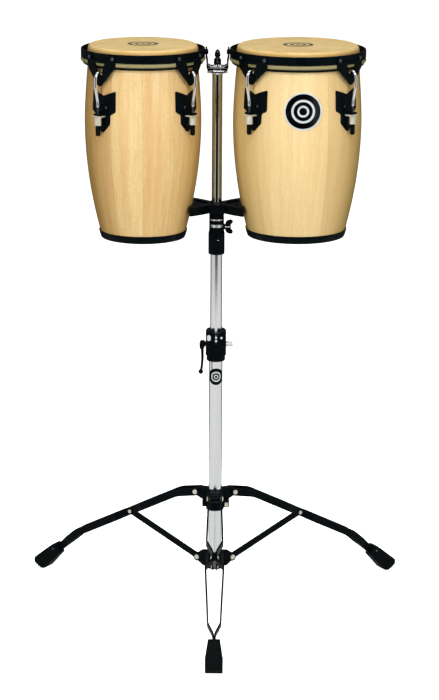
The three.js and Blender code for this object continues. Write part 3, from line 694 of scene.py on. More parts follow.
def hook_rod(drum, lift):
    """A J hook, from inside the strap's window over its edge and down to the thread."""
    inside = [(-3.0, 1020), (-2.9, 1027), (-0.4, 1032.4), (4.6, 1034.8)]
    outside = [
        (9.6, 1032.6), (13.2, 1025.6), (14.0, 1015), (12.2, 1002), (9.6, 990.5), (7.9, 981.5),
        (HOOK_OFFSET, 972.5)
    ]
    line = smooth_line([(0, -(drum.radius + offset), z + lift) for offset, z in [*inside, *outside]], 5)
    widths = [2.6] + [3.0] * (len(line) - 3) + [2.9, 2.3]
    return sweep(line, lambda i: circle(widths[i], 16), (1, 0, 0))


def side_plate(drum, lift):
    """The plate on the wood, its raised middle and the shelf for the nut."""
    out, wood = drum.radius + HOOK_OFFSET, drum.wood(960)
    lower = [
        (2.6, 926), (9, 932.6), (15.6, 939.8), (16.3, 942), (16.6, 956), (18, 958.4), (26.4, 963),
        (27.5, 965.4)
    ]
    upper = [(27.2, 999.6), (26.2, 1000.8), (24.6, 1000.8), (14, 997.4), (1.2, 992.4)]
    plate = prism(shifted(mirrored([*lower, *upper]), 0, lift), 0.35, 3.2, upright=True)
    plate = wrapped(bevelled(plate, 0.7, 2), drum.wood, drum.wood(PLATE_MIDDLE))
    ledge_top = 960.5 + lift
    raised = shifted(mirrored([(10.8, -4), (10.8, 10), (7.5, 14)]), 0, ledge_top)
    raised = bevelled(prism(raised, 0.8, 6.4, upright=True), 1.2, 3)
    raised = wrapped(raised, drum.wood, drum.wood(PLATE_MIDDLE))
    front = wood + out + 3.6 - drum.wood(960 + lift)
    shelf = bevelled(block(-8, 8, -front, -(wood + 1), ledge_top - 3.4, ledge_top + 0.4, 0), 0.9, 3)
    return together(plate, raised, cut(shelf, moved(rod(3.2, 940, 975, 20), 0, -out)))


def build_lugs(drum, lift):
    """Hooks, tuning nuts and side plates, each drawn at the drum's front and turned to its lug."""
    r, side = drum.radius, drum.side
    out = r + HOOK_OFFSET
    nut_bottom = drum.nut_top - 14
    shaft = moved(thread(2.5, 0.45, 1.5, nut_bottom - 0.5, 974 + lift), 0, -out)
    cap = [(0, -19.6), (2.6, -19.6), (3.8, -18.6), (4.4, -16.6), (4.5, -3), (4.1, -1.4), (3.4, -1), (0, -1)]
    cap = moved(lathe(shifted(cap, 0, nut_bottom), 24), 0, -out)
    nut = moved(hex_nut(6.9, nut_bottom, drum.nut_top), 0, -out)
    washer = block(-8.3, 8.3, -(out + 4.5), -(r - 4.6), 953.9 + lift, 957 + lift, 0.6)
    washer = cut(washer, moved(rod(2.8, 940, 970, 20), 0, -out))
    screw_turn, screw_height = math.degrees(10.6 / drum.wood(PLATE_MIDDLE)), 972 + lift
    screw = facing_front(screw_head(2.6, 1.7), 0, -(drum.wood(screw_height) + 6.0), screw_height)
    screws = around(screw, (screw_turn, -screw_turn))
    hook, plate = hook_rod(drum, lift), side_plate(drum, lift)
    for place, angle in LUGS.items():
        turn = angle + drum.lug_turn
        drum_piece(drum, f"hook_rod_{place}", hook, CHROME, f"hook_{place}", turn)
        drum_piece(drum, f"hook_thread_{place}", shaft, THREAD_METAL, f"hook_{place}", turn)
        drum_piece(drum, f"hook_cap_{place}", cap, RUBBER, f"hook_{place}", turn)
        drum_piece(
            drum, f"lug_plate_{place}", plate, BLACK_METAL, f"side_plate_{place}", turn
        )
        drum_piece(drum, f"lug_washer_{place}", washer, ZINC, turn=turn)
        drum_piece(drum, f"lug_screws_{place}", screws, DARK_SCREW, turn=turn)
        body, node = f"{side}_nut_{place}", f"{side}_tuning_nut_{place}"
        piece(f"{side}_hex_nut_{place}", nut, ZINC, body, node, drum.axis, turn)


def build_bottom_ring(drum, screw_angles):
    low, high = drum.ring_bottom, drum.ring_top
    rim = shifted([(0.3, -0.3), (1.2, 0), (2.1, -0.4)], drum.wood(high), high)
    side = [(drum.wood(high - 2) + 2.4, high - 2), (drum.wood(drum.bottom + 4) + 2.4, drum.bottom + 4)]
    foot = [(2.2, 1.8), (1.2, 0.5), (-0.6, 0), (-8, 0), (-9, 0.5), (-9, 1.3), (0.35, 1.35)]
    ring = lathe([*rim, *side, *shifted(foot, drum.wood(drum.bottom), low)], DRUM_STEPS)
    drum_piece(drum, "foot_ring", ring, BLACK_METAL, "bottom_ring")
    height = (low + high) / 2 + 1
    head = facing_front(screw_head(2.4, 1.5), 0, -(drum.wood(height) + 2.1), height)
    drum_piece(drum, "ring_screws", around(head, screw_angles), BLACK_METAL)


def build_hanger(drum, turn):
    low, high = box_mm(f"{drum.side}_hanger")
    out = drum.radius + 2.45
    end = max(abs(low.x - drum.axis.x), abs(high.x - drum.axis.x)) - out
    drop = [(0, 1069.8), (0, 1062), (0, 1055), (0.5, 1051), (1.3, 1047), (1.6, 1042), (1.6, 1036)]
    shelf = [(2.3, 1032.6), (5, 1031.05), (8, 1031), (end, 1031)]
    line = smooth_line([(out + offset, 0, z) for offset, z in [*drop, *shelf]], 4)
    bar = sweep(line, bar_section(26, 3, 0.7), (0, 1, 0))
    bolt = turned(screw_head(3.6, 2.2), 90, "Y")
    spacer = rod(4, 0, 2.2, 20, "Y")
    bolts = together(*[moved(bolt, out + 1.3, y, 1062) for y in (-7, 7)])
    spacers = [moved(spacer, drum.radius - 0.3, y, 1062) for y in (-7, 7)]
    drum_piece(drum, "hanger_bar", together(bar, *spacers), BLACK_METAL, "hanger", turn)
    drum_piece(drum, "hanger_bolts", bolts, BLACK_METAL, turn=turn)


def ring_plate(inner, outer, low, high, steps=56):
    """A flat ring that faces the front."""
    profile = [
        (inner, low), (outer, low), (outer, high - 0.15), (outer - 0.2, high), (inner + 0.2, high),
        (inner, high - 0.15)
    ]
    return turned(lathe(profile, steps), 90, "X")


def disc_plate(radius, low, high, steps=56):
    profile = [(0, low), (radius, low), (radius, high - 0.2), (radius - 0.25, high), (0, high)]
    return turned(lathe(profile, steps), 90, "X")


def build_badge(drum):
    centre = middle("right_badge").z
    rings = [
        ring_plate(31.6, 34.4, 0.4, 2.0), ring_plate(17.2, 21.4, 1.2, 1.65),
        ring_plate(7.0, 10.6, 1.2, 1.65)
    ]
    shapes = {
        "badge_disc": (disc_plate(33.6, 0.4, 1.3), BLACK_GLOSS), "badge_rings": (together(*rings), SILVER)
    }
    for label, (mesh, material) in shapes.items():
        bent = wrapped(moved(mesh, 0, 0, centre), drum.wood, drum.wood(centre), 3.0)
        drum_piece(drum, label, bent, material, "badge", 3.5)


build_shell(DRUMS[0], 11, 0.72, (0.23, 0.76), 0.14)
build_shell(DRUMS[1], 11, 0.927, (-0.25, 0.55), 0.42)
for each_drum, raised, hanger_turn in zip(DRUMS, (0, 5), (0, 180)):
    build_head(each_drum)
    build_hoop(each_drum, raised)
    build_lugs(each_drum, raised)
    build_bottom_ring(each_drum, range(-8, 352, 60))
    build_hanger(each_drum, hanger_turn)
build_badge(DRUMS[1])


# ---------------------------------------------------------------- tubes and top clamp
def tube_from(node, wall):
    low, high = box_mm(node)
    outer = (high.x - low.x) / 2
    return tube(outer - wall, outer, low.z, high.z)


piece("base_tube_metal", tube_from("base_tube", 1.25), TUBE_METAL, "stand_base", "base_tube")
piece("upper_tube_metal", tube_from("upper_tube", 1.2), TUBE_METAL, "height_tube", "upper_tube")
piece("drum_post_metal", tube_from("drum_post", 1.6), POST_CHROME, CARRIER, "drum_post")

TRAY_LOW, TRAY_TOP = 1024.0, 1029.0
tray_edge = mirrored([(18.5, -11.5), (17.6, -13.4), (14, -15), (7, -15.8), (0, -16)])
tray_edge.pop(len(tray_edge) // 2)
tray = prism(mirrored(tray_edge, 1, -1), TRAY_LOW, TRAY_TOP, 1.2, 3)
tray_bolt = lathe([(0, TRAY_TOP - 1), (4, TRAY_TOP - 1), (4, 1046), (3.4, 1047), (0, 1047)], 24)
collar_weld = lathe([(9.2, 1020.4), (10.6, 1021.2), (11.4, 1024.4), (9.2, 1024.4)], 40)
piece("clamp_tray_chrome", together(tray, tray_bolt, collar_weld), CHROME, CARRIER, "clamp_tray")

plate_low = box_mm("clamp_plate")[0].z
half_channel = [(16.4, 0), (17, 0.8), (17, 4.6), (16, 5.3), (14.6, 5), (13.4, 3)]
channel = prism(shifted(mirrored(half_channel), 0, plate_low), -15, 15, 0.5, 2, upright=True)
boss = lathe(shifted([(4.6, 2), (8, 2), (8, 4.6), (7.4, 5.2), (4.6, 5.2)], 0, plate_low), 32)
piece("clamp_plate_chrome", together(channel, boss), CHROME, CARRIER, "clamp_plate")

knob_low = box_mm("top_knob")[0].z
hub = [
    *shifted([(0, 0), (6.2, 0), (6.8, 0.7)], 0, knob_low), (6.8, 1045.6), (6.2, 1048.6), (4.8, 1050.8),
    (3.2, 1051.8)
]
acorn = [
    (3.6, 1052.6), (5.2, 1053.6), (5.4, 1055.4), (5.0, 1059.4), (4.1, 1062.8), (2.6, 1065.4), (1.1, 1066.4),
    (0, 1066.6)
]
wing = [
    *shifted([(4, 2), (9, 3.4), (13, 6)], 0, knob_low), *arc(12.8, 1050.2, 3.1, -20, 150, 6), (7, 1049.4),
    (4, 1048)
]
wings = around(prism(wing, -2.1, 2.1, 1.3, 3, upright=True), (90, -90))
piece(
    "top_knob_nut", together(lathe([*hub, *acorn], 40), wings), BLACK_GLOSS, "top_knob",
    "top_knob"
)


# ---------------------------------------------------------------- cradle
POST_BORE = 9.9


def cradle_shape():
    low, high = (corner.z for corner in box_mm("cradle"))
    left_end = [(-50, -51), (-49.4, -53), (-47.6, -53.6), *quadratic((-46, -52.6), (-32, -44), (-13, -22))]
    right_end = [*quadratic((13, -22), (32, -44), (46, -52.6)), (47.6, -53.6), (49.4, -53), (50, -51)]
    front = [*left_end, *arc(0, -12, 13.4, -130, -50, 8), *right_end]
    body = prism(mirrored(front, 1, -1), low, high)
    tools = []
    for drum in DRUMS:
        heights = [low - 3 + (high - low + 6) * i / 6 for i in range(7)]
        profile = [(0, heights[0]), *[(drum.wood(h) + 0.4, h) for h in heights], (0, heights[-1])]
        tools.append(moved(lathe(profile, DRUM_STEPS), drum.axis.x - POLE.x))
    body = bevelled(cut(body, *tools), 1.2, 3, 40)
    half_pocket = [(17, 6), (24, 16), (33, 27), (41, 33), (40, 18)]
    pocket = [*half_pocket, (38.6, 0), *[(x, -y) for x, y in reversed(half_pocket)]]
    body = cut(body, *[turned(prism(pocket, high - 2.6, high + 2), turn) for turn in (0, 180)])
    dimple = lathe(shifted([(0, -5), (2.6, -5), (3.6, -0.6), (4.4, 1), (0, 1)], 0, high), 24)
    return cut(body, rod(POST_BORE, low - 2, high + 2, 48), *[moved(dimple, x) for x in (-35, 35)])


piece("cradle_block", cradle_shape(), BLACK_PLASTIC, CARRIER, "cradle", sharp=45)

# ---------------------------------------------------------------- sleeve clamp and wing bolt
SLEEVE_BANDS = ((735.0, 740.5), (748.0, 750.6))
SCREW_HEIGHT = 735


def sleeve_shape():
    low, high = (corner.z for corner in box_mm("sleeve_clamp"))
    shoulder = 725.4
    foot = shifted([(11.5, 0.6), (12.0, 0), (13.2, 0), (14.4, 0.5), (15.1, 1.8), (15.2, 4)], 0, low)
    neck = shifted([(15.2, -3), (14.9, -1), (14.1, 2.6), (13.8, 5)], 0, shoulder)
    top = [(13.8, high - 0.8), (13.3, high), (POST_BORE, high), (POST_BORE, shoulder), (11.5, shoulder)]
    boss = turned(lathe([(0, 0), (5.6, 0), (5.6, 4), (4.9, 4.9), (0, 4.9)], 32), 90, "Y")
    body = combined(lathe([*foot, *neck, *top], 64), moved(boss, 11, 0, SCREW_HEIGHT))
    windows = [block(-11.2, 11.2, -20, -4, *band, 0.3) for band in SLEEVE_BANDS]
    screw_hole = moved(rod(2.9, -8, 8, 24, "Y"), 15, 0, SCREW_HEIGHT)
    return cut(body, screw_hole, rod(POST_BORE, shoulder, high + 1, 64), *windows)


def oval_wing(half_x, half_z, half_depth, tilt):
    """An oval wing with a full rounded rim and slightly dished faces."""
    half = [(0, -0.78), (0.55, -0.86), (0.78, -1), (0.92, -0.72)]
    disc = lathe([*half, (1, 0), *[(r, -d) for r, d in reversed(half)]], 36)
    disc.transform(Matrix.Diagonal((half_x, half_z, half_depth, 1)))
    disc.transform(Matrix.Rotation(math.radians(tilt), 4, "Z"))
    disc.transform(UPRIGHT)
    return disc


bush = cut(tube(10.0, 13.45, 733, 752), block(-14, 14, -2, 14, 730, 755, 0))
# The small nickel dash on the sleeve's front stands in for a highlight on a moulded rib: a painted
# highlight.
highlight_dash = prism([(-2.2, -0.5), (2.2, -0.5), (2.2, 0.5), (-2.2, 0.5)], 14.2, 15.55, 0.3, 2, upright=True)
piece("sleeve_bush_and_highlight_dash", together(bush, moved(highlight_dash, 3.4, 0, 712)), NICKEL, "height_tube")
piece(
    "sleeve_clamp_body", sleeve_shape(), BLACK_PLASTIC, "height_tube", "sleeve_clamp",
    sharp=30
)
root = [(15.6, 1.7), (24.4, 1.7), (26.4, 4.2), (24.6, 6.6), (19.5, 6.2), (15.6, 4.4)]
root = prism(root, -2.6, 2.6, 0.9, 3, upright=True)
upper_wing = together(moved(oval_wing(7.5, 5.1, 2.2, 28), 23.4, 0, 8), root)
core = turned(lathe([(0, 16), (4.4, 16), (4.7, 17), (4.7, 25), (3.6, 26.4), (0, 26.8)], 28), 90, "Y")
core = cut(core, block(14, 25.6, -6, -1.5, -1.5, 1.5, 0))
grip = moved(together(upper_wing, turned(upper_wing, 180, "X"), core), 0, 0, SCREW_HEIGHT)
piece("sleeve_wing_bolt_wings", grip, BLACK_PLASTIC, "sleeve_wing_bolt", "wing_bolt")
shank_and_highlight_strip = turned(lathe([(0, 9.9), (2.1, 9.9), (2.5, 10.4), (2.5, 15.8), (0, 15.8)], 24), 90, "Y")
# The flat silver strip in the groove on the core's front is sized to a thin bright line along the hub and
# stands in for it: a painted highlight beside the real round shank.
shank_and_highlight_strip = moved(together(shank_and_highlight_strip, block(15.8, 25.4, -4.3, -1.6, -0.8, 0.8, 0.3)), 0, 0, SCREW_HEIGHT)
piece("sleeve_wing_bolt_shank_and_highlight", shank_and_highlight_strip, SILVER, "sleeve_wing_bolt", "wing_bolt")

# ---------------------------------------------------------------- lever clamp
BOLT_Y, BOLT_Z, LEVER_X = -17.5, 514, -25
CLAMP_FRONT = -24


def lever_clamp_shape():
    low, high = (corner.z for corner in box_mm("lever_clamp"))
    shoulder = 496
    front = [(-19.2, -22.6), (-17.8, CLAMP_FRONT), (17.8, CLAMP_FRONT), (19.2, -22.6), (19.2, -4)]
    jaws = prism([*front, *arc(0, 0, 17.8, 0, 180, 24), (-19.2, -4)], shoulder - 3, high)
    dip = shifted([(10.6, 8), (9.6, 0.5), (8, -2.6), (5, -5.2)], 0, high)
    dip = prism([*[(-x, z) for x, z in dip], (0, high - 6.2), *reversed(dip)], -50, 50, upright=True)
    jaws = bevelled(cut(jaws, dip), 1.6, 3, 40)
    neck = shifted([(0, 0), (15, 0), (16.8, 0.8), (17.5, 2.8)], 0, low)
    neck = lathe([*neck, (17.5, shoulder + 4), (0, shoulder + 4)], 56)
    slit = block(-1.2, 1.2, -30, -8, shoulder + 11, high + 10, 0)
    seat, bore = rod(13.0, low - 5, 500.4, 56), rod(11.45, low - 5, high + 5, 56)
    return cut(combined(jaws, neck), slit, seat, bore, moved(rod(3.4, -26, 26, 24, "Y"), 0, BOLT_Y, BOLT_Z))


piece(
    "lever_clamp_body", lever_clamp_shape(), BLACK_METAL, "stand_base", "lever_clamp",
    sharp=42
)
oval = [*arc(0, 2.2, 3.6, 0, 180, 10), *arc(0, -2.2, 3.6, 180, 360, 10)]
oval_stud = prism(oval, 0, 1.9, 0.8, 3, upright=True)
rivet = turned(screw_head(2.3, 1.7), 90, "X")
studs = [moved(oval_stud, -13.2, CLAMP_FRONT, 526.6), moved(rivet, 10.4, CLAMP_FRONT, 526.8)]
studs += [moved(rivet, 0.2, CLAMP_FRONT + 0.2, height) for height in (527.2, 520.4)]
piece("lever_clamp_studs", together(*studs), SILVER, "stand_base")
# The bolt's rod takes the dark thread metal so that the stretch seen in the clamp's slit stays dark:
# painted shade in the slit.
bolt_rod = moved(rod(2.9, LEVER_X + 2, 20, 24, "Y"), 0, BOLT_Y, BOLT_Z)
piece("clamp_bolt_rod", bolt_rod, THREAD_METAL, "stand_base", "clamp_bolt")
eye = mirrored([(0, -2.1), (3.7, -2.1), (4.4, -1.5)], 1, -1)
eye = cut(turned(lathe(eye, 28), 90, "X"), rod(2.2, -6, 6, 20, "X"))
bolt_ends = together(turned(hex_nut(5, 19, 31.9), 90, "Y"), moved(eye, LEVER_X))
piece("clamp_bolt_zinc", moved(bolt_ends, 0, BOLT_Y, BOLT_Z), SILVER, "stand_base", "clamp_bolt")

cam = [*arc(0, 0, 6, -60, 200, 20), (-5.6, -6.5), (-4.4, -9), (2.2, -9), (3.4, -6)]
cam = cut(prism(cam, -7, 7, 1.1, 3, upright=True), block(-5.2, 9, -3.4, 3.4, -5.2, 9, 0))
lever_line = [(-0.6, -6.5), (-0.4, -14), (-0.1, -24), (-0.5, -34), (-1.3, -43), (-2.4, -50), (-3.1, -54)]
lever_line = smooth_line([(x, 0, z) for x, z in lever_line], 5)
count = len(lever_line)
lever_bar = sweep(
    lever_line, lambda i: bar_section(9.5 - 2.5 * i / count, 5.6 - 1.6 * i / count, 1.6), (0, 1, 0)
)
ball = moved(lathe([(0, -4.6), *arc(0, 0, 4.6, -75, 75, 10), (0, 4.6)], 28), -3.2, 0, -54)
lever = moved(together(cam, lever_bar, ball, rod(1.9, -6.6, 6.6, 20, "X")), LEVER_X, BOLT_Y, BOLT_Z)
piece("cam_lever_arm", lever, BLACK_METAL, "cam_lever", "clamp_lever")


# ---------------------------------------------------------------- base tube sticker
def build_sticker():
    radius = (box_mm("base_tube")[1].x - box_mm("base_tube")[0].x) / 2
    height, turn = 448.4, 3
    rings = together(ring_plate(7.2, 9.8, 0.1, 0.36, 40), ring_plate(2.4, 4.2, 0.1, 0.36, 32))
    shapes = {
        "sticker_disc": (disc_plate(16.2, -0.02, 0.22, 40), BLACK_PLASTIC), "sticker_rings": (rings, SILVER)
    }
    for label, (mesh, material) in shapes.items():
        bent = wrapped(moved(mesh, 0, 0, height), lambda z: radius, radius, 1.5)
        piece(f"base_tube_{label}", bent, material, "stand_base", (), POLE, turn)


build_sticker()

# ---------------------------------------------------------------- tripod
PIVOT_RADIUS, COLLAR_PIVOT, HUB_PIVOT, BRACE_REACH = 37, 215, 82, 189
STRIP, LEG_DEPTH, BRACE_DEPTH = 3.2, 15, 12.5
SCREW_X, SCREW_Z = 21.8, 196.5
MID_HEIGHT = (COLLAR_PIVOT + HUB_PIVOT) / 2


def interpolated(points, x):
    """The value at x on a line of [x, value] points."""
    for (x0, y0), (x1, y1) in zip(points, points[1:]):
        if x <= x1:
            return y0 + (y1 - y0) * (x - x0) / (x1 - x0)
    return points[-1][1]


def softly(points, x, reach=4.0):
    """The same, with its corners rounded over a reach."""
    samples = [interpolated(points, x + reach * k / 4) for k in range(-4, 5)]
    weights = [1, 2, 3, 4, 5, 4, 3, 2, 1]
    return sum(w * s for w, s in zip(weights, samples)) / sum(weights)


LEG_LINE = [(20, 218.4), (37, 215), (80, 206.5), (307, 88), (350, 50.6), (390, 15.7)]
LEG_SPREAD = [
    (20, 11.3), (28, 11.3), (157, 15), (180, 3.8), (198, 3.8), (211, 16.8), (329, 11.7), (345, 1.6),
    (400, 1.6)
]


def strip_shape(sign):
    first, last = PIVOT_RADIUS - LEG_DEPTH / 2 + 0.05, 374
    xs = [first, first + 0.8, first + 2, first + 3.8, PIVOT_RADIUS]
    xs += [PIVOT_RADIUS + (last - PIVOT_RADIUS) * i / 110 for i in range(1, 111)]
    path = [Vector((x, sign * softly(LEG_SPREAD, x, 3.0), softly(LEG_LINE, x, 9.0))) for x in xs]

    def section(i):
        back = PIVOT_RADIUS - xs[i]
        depth = 2 * math.sqrt(max((LEG_DEPTH / 2) ** 2 - back**2, 0.3)) if back > 0 else LEG_DEPTH
        return bar_section(depth, STRIP, min(0.6, depth * 0.2))

    def upward(i):
        ahead = path[min(i + 1, len(path) - 1)] - path[max(i - 1, 0)]
        return Vector((-ahead.z, 0, ahead.x))

    return sweep(path, section, upward)


def cross_pin(radius, half_length, x, z, steps=24, edge=0.5):
    """A pin along Y with its ends turned off."""
    profile = [
        (0, -half_length), (radius - edge, -half_length), (radius, edge - half_length),
        (radius, half_length - edge), (radius - edge, half_length), (0, half_length)
    ]
    return moved(turned(lathe(profile, steps), 90, "X"), x, 0, z)


def button(radius, height, x, y, z, outward):
    """A rivet or bolt head on a face that looks along Y."""
    dome = lathe([
        (0, 0), (radius, 0), (radius, height * 0.4), (radius * 0.85, height * 0.8), (radius * 0.5, height),
        (0, height)
    ], 24)
    return moved(turned(dome, 90 if outward < 0 else -90, "X"), x, y, z)


def leg_shapes():
    strips = together(strip_shape(1), strip_shape(-1))
    pin = cross_pin(3, 14, PIVOT_RADIUS, COLLAR_PIVOT)
    bolts = [button(4.8, 2.9, PIVOT_RADIUS, s * 12.9, COLLAR_PIVOT, s) for s in (-1, 1)]
    rivets = [button(3.7, 2.2, BRACE_REACH, s * 5.4, MID_HEIGHT, s) for s in (-1, 1)]
    return strips, together(pin, *bolts), together(*rivets)


def foot_shape():
    sole = [
        (383.4, 1.2), (386, 0.0), (393.4, 0.0), (394.6, 3.0), (397, 3.2), (398.4, 2.6), (399.4, 5.8),
        (401.8, 6.2), (403.2, 5.4), (404.4, 9.0), (406.8, 9.2), (408.4, 10.4)
    ]
    toe = [(410.6, 12.4), (411, 15), (409.4, 17.6)]
    ridge = []
    start, end, ribs = Vector((408.0, 19.6)), Vector((372, 49.2)), 8
    along = (end - start).normalized()
    normal = Vector((along.y, -along.x))
    for i in range(ribs):
        for part, depth in ((0.0, 0.0), (0.5, 0.0), (0.68, 0.9), (0.82, 0.9)):
            spot = start.lerp(end, (i + part) / ribs) - normal * depth
            ridge.append((spot.x, spot.y))
    heel = [
        (368.4, 52.0), (365, 53.8), (361.8, 53.6), (359.6, 51), (352.6, 38), (352.2, 35.6), (353.6, 33.2)
    ]
    outline = [*sole, *toe, *ridge, *heel]
    foot = prism(outline, -30, 30, upright=True)
    plan = mirrored([(345, -9.5), (368, -11.5), (395, -16.2), (407, -15.4), (411.4, -10)], 1, -1)
    foot = combined(foot, prism(plan, -5, 90), operation="INTERSECT")
    foot = bevelled(foot, 0.5, 2, 50)
    line = [Vector((x, 0, z)) for x, z in ((330, 67.9), (350, 50.6), (374, 29.7))]
    socket = sweep(line, bar_section(2 * (STRIP + 0.35), LEG_DEPTH + 0.7, 0.4), (0, 1, 0))
    return cut(foot, socket)


def brace_shape():
    rise = math.atan2(MID_HEIGHT - HUB_PIVOT, BRACE_REACH - PIVOT_RADIUS)
    length = math.hypot(MID_HEIGHT - HUB_PIVOT, BRACE_REACH - PIVOT_RADIUS)
    outline = [*arc(0, 0, BRACE_DEPTH / 2, 90, 270, 14), *arc(length, 0, BRACE_DEPTH / 2, -90, 90, 14)]
    bar = prism(outline, -STRIP / 2, STRIP / 2, 0.5, 2, upright=True)
    bar = cut(bar, cross_pin(3.35, 8, 0, 0))
    return moved(turned(bar, -math.degrees(rise), "Y"), PIVOT_RADIUS, 0, HUB_PIVOT)


strips, leg_bolts, leg_rivets = leg_shapes()
foot_rivets = together(*[button(2.6, 1.5, 366, s * 10.1, 43, s) for s in (-1, 1)])
foot_mesh, brace_mesh = foot_shape(), brace_shape()
for place, angle in DIRECTIONS.items():
    leg, brace = f"leg_{place}", f"brace_{place}"
    piece(f"leg_strips_{place}", strips, BLACK_METAL, leg, leg, turn=angle)
    piece(f"leg_bolt_{place}", leg_bolts, ZINC, leg, turn=angle)
    piece(f"leg_rivets_{place}", leg_rivets, ZINC, leg, turn=angle)
    piece(f"foot_rivets_{place}", foot_rivets, DARK_SCREW, leg, turn=angle)
    piece(
        f"foot_rubber_{place}", turned(foot_mesh, angle), RUBBER, leg, f"foot_{place}", sharp=40
    )
    piece(f"brace_bar_{place}", brace_mesh, BLACK_METAL, brace, brace, turn=angle)


def collar_shape():
    band = tube(13.1, 17.2, 184, 224.5, (0.7, 0.6), (1, 1.2))
    ear_outline = [
        (14.6, 224.2), (32, 223.2), *arc(PIVOT_RADIUS, COLLAR_PIVOT, 7.2, 122, -92, 16), (27, 203.4),
        (14.6, 200.4)
    ]
    ear = prism(ear_outline, -9.5, 9.5, 0.9, 2, upright=True)
    ear = cut(ear, cross_pin(3.3, 30, PIVOT_RADIUS, COLLAR_PIVOT))
    screw_ear = block(14.4, 27, -9, 9, 189.5, 203.5, 1.2, 3)
    nut_ear = block(-24.5, -14.4, -6.5, 6.5, 190, 203.5, 1.2, 3)
    whole = combined(band, *[turned(ear, a) for a in DIRECTIONS.values()], screw_ear, nut_ear)
    gap = block(8, 30, -1.2, 1.2, 183, 204.2, 0)
    return cut(whole, rod(13.1, 180, 230, 56), gap, cross_pin(2.9, 30, SCREW_X, SCREW_Z))


def hub_shape():
    outline = [
        (14.8, 98.6), (30, 96), *arc(PIVOT_RADIUS, HUB_PIVOT, 8, 109, -109, 18), (24, 67.2), (14.8, 67.2)
    ]
    cheek = prism(outline, -1.5, 1.5, 0.6, 2, upright=True)
    cheeks = [moved(cheek, 0, y) for y in (-3.75, 3.75)]
    band = tube(13.05, 17, 67, 99, (0.45, 0.5), (0.8, 1))
    return combined(band, *[turned(c, a) for a in DIRECTIONS.values() for c in cheeks])


piece("leg_collar_body", collar_shape(), BLACK_METAL, "collar", "leg_collar", sharp=40)
piece("lower_hub_body", hub_shape(), BLACK_METAL, "stand_base", "lower_hub", sharp=40)
hub_bolt = together(
    cross_pin(3, 6, PIVOT_RADIUS, HUB_PIVOT),
    *[button(4.8, 2.1, PIVOT_RADIUS, s * 5.2, HUB_PIVOT, s) for s in (-1, 1)]
)
piece("lower_hub_bolts", around(hub_bolt, DIRECTIONS.values()), ZINC, "stand_base")
key_shank = moved(rod(2.5, -10, 12.8, 20, "X"), SCREW_X, 0, SCREW_Z)
key_head = block(18.4, 25.2, -16, -9.3, 193.1, 199.9, 0.9, 3)
piece("collar_screw_zinc", together(key_shank, key_head), ZINC, "collar_screw", "collar_screw")


# ---------------------------------------------------------------- stage, lights and camera
SHEET_RADIUS, SHEET_GLOW = 2700, 0.7
AMBIENT, SIDE_GLOW, FRONT_GLOW, BACK_SHARE, BACK_GLOW = 0.175, 0.6, 0.006, 0.16, 0.12
WARM_SIDES = (0.86, 0.78, 0.04, 1)


def stage_material(name, colour, glow):
    g = Graph(
        name, Roughness=0.9, Specular_IOR_Level=0.0, Emission_Strength=glow, Emission_Color=(1, 1, 1, 1)
    )
    mottle = g.noise(g.coords(), 3.0, 2.0)
    g.surface(Base_Color=g.mix(g.spread(mottle, 0.3, 0.7, 0.0, 0.05), colour, rgb(240, 241, 243)))
    return g.material


def stage_object(name, mesh, material, centre=POLE):
    mesh.transform(Matrix.Scale(MM, 4))
    mesh.materials.append(material)
    mesh.shade_smooth()
    made = bpy.data.objects.new(name, mesh)
    bpy.context.scene.collection.objects.link(made)
    made.location = (centre.x * MM, centre.y * MM, 0)
    return made


floor_line = [(0, -0.5), (11000, -0.5), *arc(11000, 2500, 2500, -80, 0, 8), (13500, 9000)]
sweep_mesh = lathe([*floor_line, (13600, 9000), (13600, -20), (0, -20)], 96)
backdrop = stage_object("studio_floor", sweep_mesh, stage_material("pale_floor", rgb(250, 250, 250), 1.0))
backdrop.visible_glossy = False
backdrop.visible_diffuse = False

# A bright sheet on the floor that only reflections see; past its edge the studio is dark.
sheet_mesh = prism(arc(0, 0, SHEET_RADIUS, -195, 15, 60), -5, -1)
sheet = stage_object(
    "reflected_floor", sheet_mesh, stage_material("bright_sheet", rgb(30, 30, 30), SHEET_GLOW)
)
sheet.visible_camera = False
sheet.visible_diffuse = False
sheet.visible_shadow = False

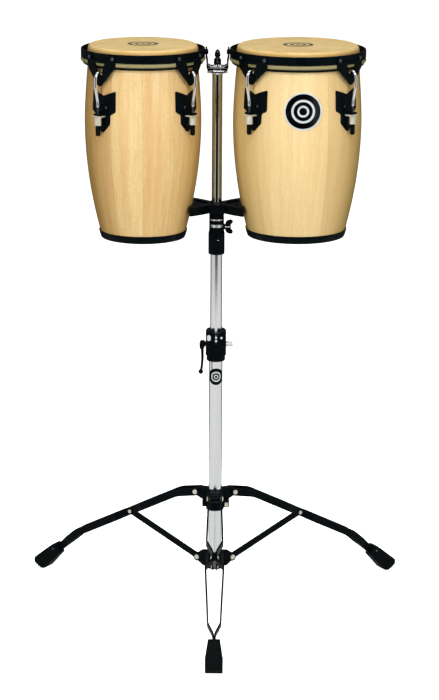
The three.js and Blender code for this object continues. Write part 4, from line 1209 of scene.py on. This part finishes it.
world = bpy.data.worlds.new("studio")
bpy.context.scene.world = world
sky = Nodes(world)
to_right, to_back, upward = sky.split(sky.node("TexCoord", {}).outputs["Generated"])
side = sky.maths("ABSOLUTE", to_right)
front_dark = sky.spread(side, 0.34, 0.52, FRONT_GLOW, SIDE_GLOW, "SMOOTHSTEP")
back_dark = sky.spread(to_back, -0.1, 0.7, 1.0, BACK_SHARE, "SMOOTHSTEP")
back_bright = sky.spread(to_back, 0.5, 0.85, 0.0, BACK_GLOW, "SMOOTHSTEP")
above_back = sky.times(back_bright, sky.spread(upward, 0.06, 0.16, 0.0, 1.0, "SMOOTHSTEP"))
glossy = sky.maths("MAXIMUM", sky.times(front_dark, back_dark), above_back)
is_glossy = sky.node("LightPath", {}).outputs["Is Glossy Ray"]
extra = sky.times(sky.maths("SUBTRACT", glossy, AMBIENT), is_glossy)
sideways = sky.spread(side, 0.2, 0.8, 0.0, 1.0, "SMOOTHSTEP")
warm = sky.times(sideways, sky.maths("SUBTRACT", 1.0, is_glossy))
glow = {"Color": sky.mix(warm, (1, 1, 1, 1), WARM_SIDES), "Strength": sky.maths("ADD", extra, AMBIENT)}
background = sky.node("Background", glow)
sky.node("OutputWorld", {"Surface": background.outputs[0]})


def softbox(name, place, target, width, height, power, reflected=True):
    data = bpy.data.lights.new(name, "AREA")
    data.shape, data.size, data.size_y, data.energy = "RECTANGLE", width, height, power
    lamp = bpy.data.objects.new(name, data)
    bpy.context.scene.collection.objects.link(lamp)
    lamp.location = place
    lamp.rotation_euler = (Vector(target) - Vector(place)).to_track_quat("-Z", "Y").to_euler()
    lamp.visible_camera = False
    lamp.visible_glossy = reflected
    return lamp


AIM = (0, POLE.y * MM, 0.8)
softbox("left_softbox", (-1.45, -2.9, 1.35), AIM, 0.9, 2.5, 51, False)
softbox("right_softbox", (1.45, -2.9, 1.35), AIM, 0.9, 2.5, 52, False)
softbox("front_softbox", (0.2, -2.9, 3.2), AIM, 1.8, 1.0, 54)
softbox("top_softbox", (0, 0.2, 3.4), AIM, 2.4, 1.8, 42)

LENS, SENSOR = 137.695, 36.0
CAMERA_PLACE = Vector((0.00686, POLE.y * MM - 4.89485, 1.74072))
CAMERA_TILT, CAMERA_ROLL = 14.252, 0.3443
camera_data = bpy.data.cameras.new("camera")
camera_data.sensor_width = SENSOR
camera_data.lens = LENS
camera = bpy.data.objects.new("camera", camera_data)
bpy.context.scene.collection.objects.link(camera)
look = Matrix.Rotation(math.radians(90 - CAMERA_TILT), 4, "X")
roll = Matrix.Rotation(math.radians(CAMERA_ROLL), 4, "Z")
camera.matrix_world = Matrix.Translation(CAMERA_PLACE) @ look @ roll
bpy.context.scene.camera = camera
bpy.context.scene.view_settings.view_transform = "Standard"
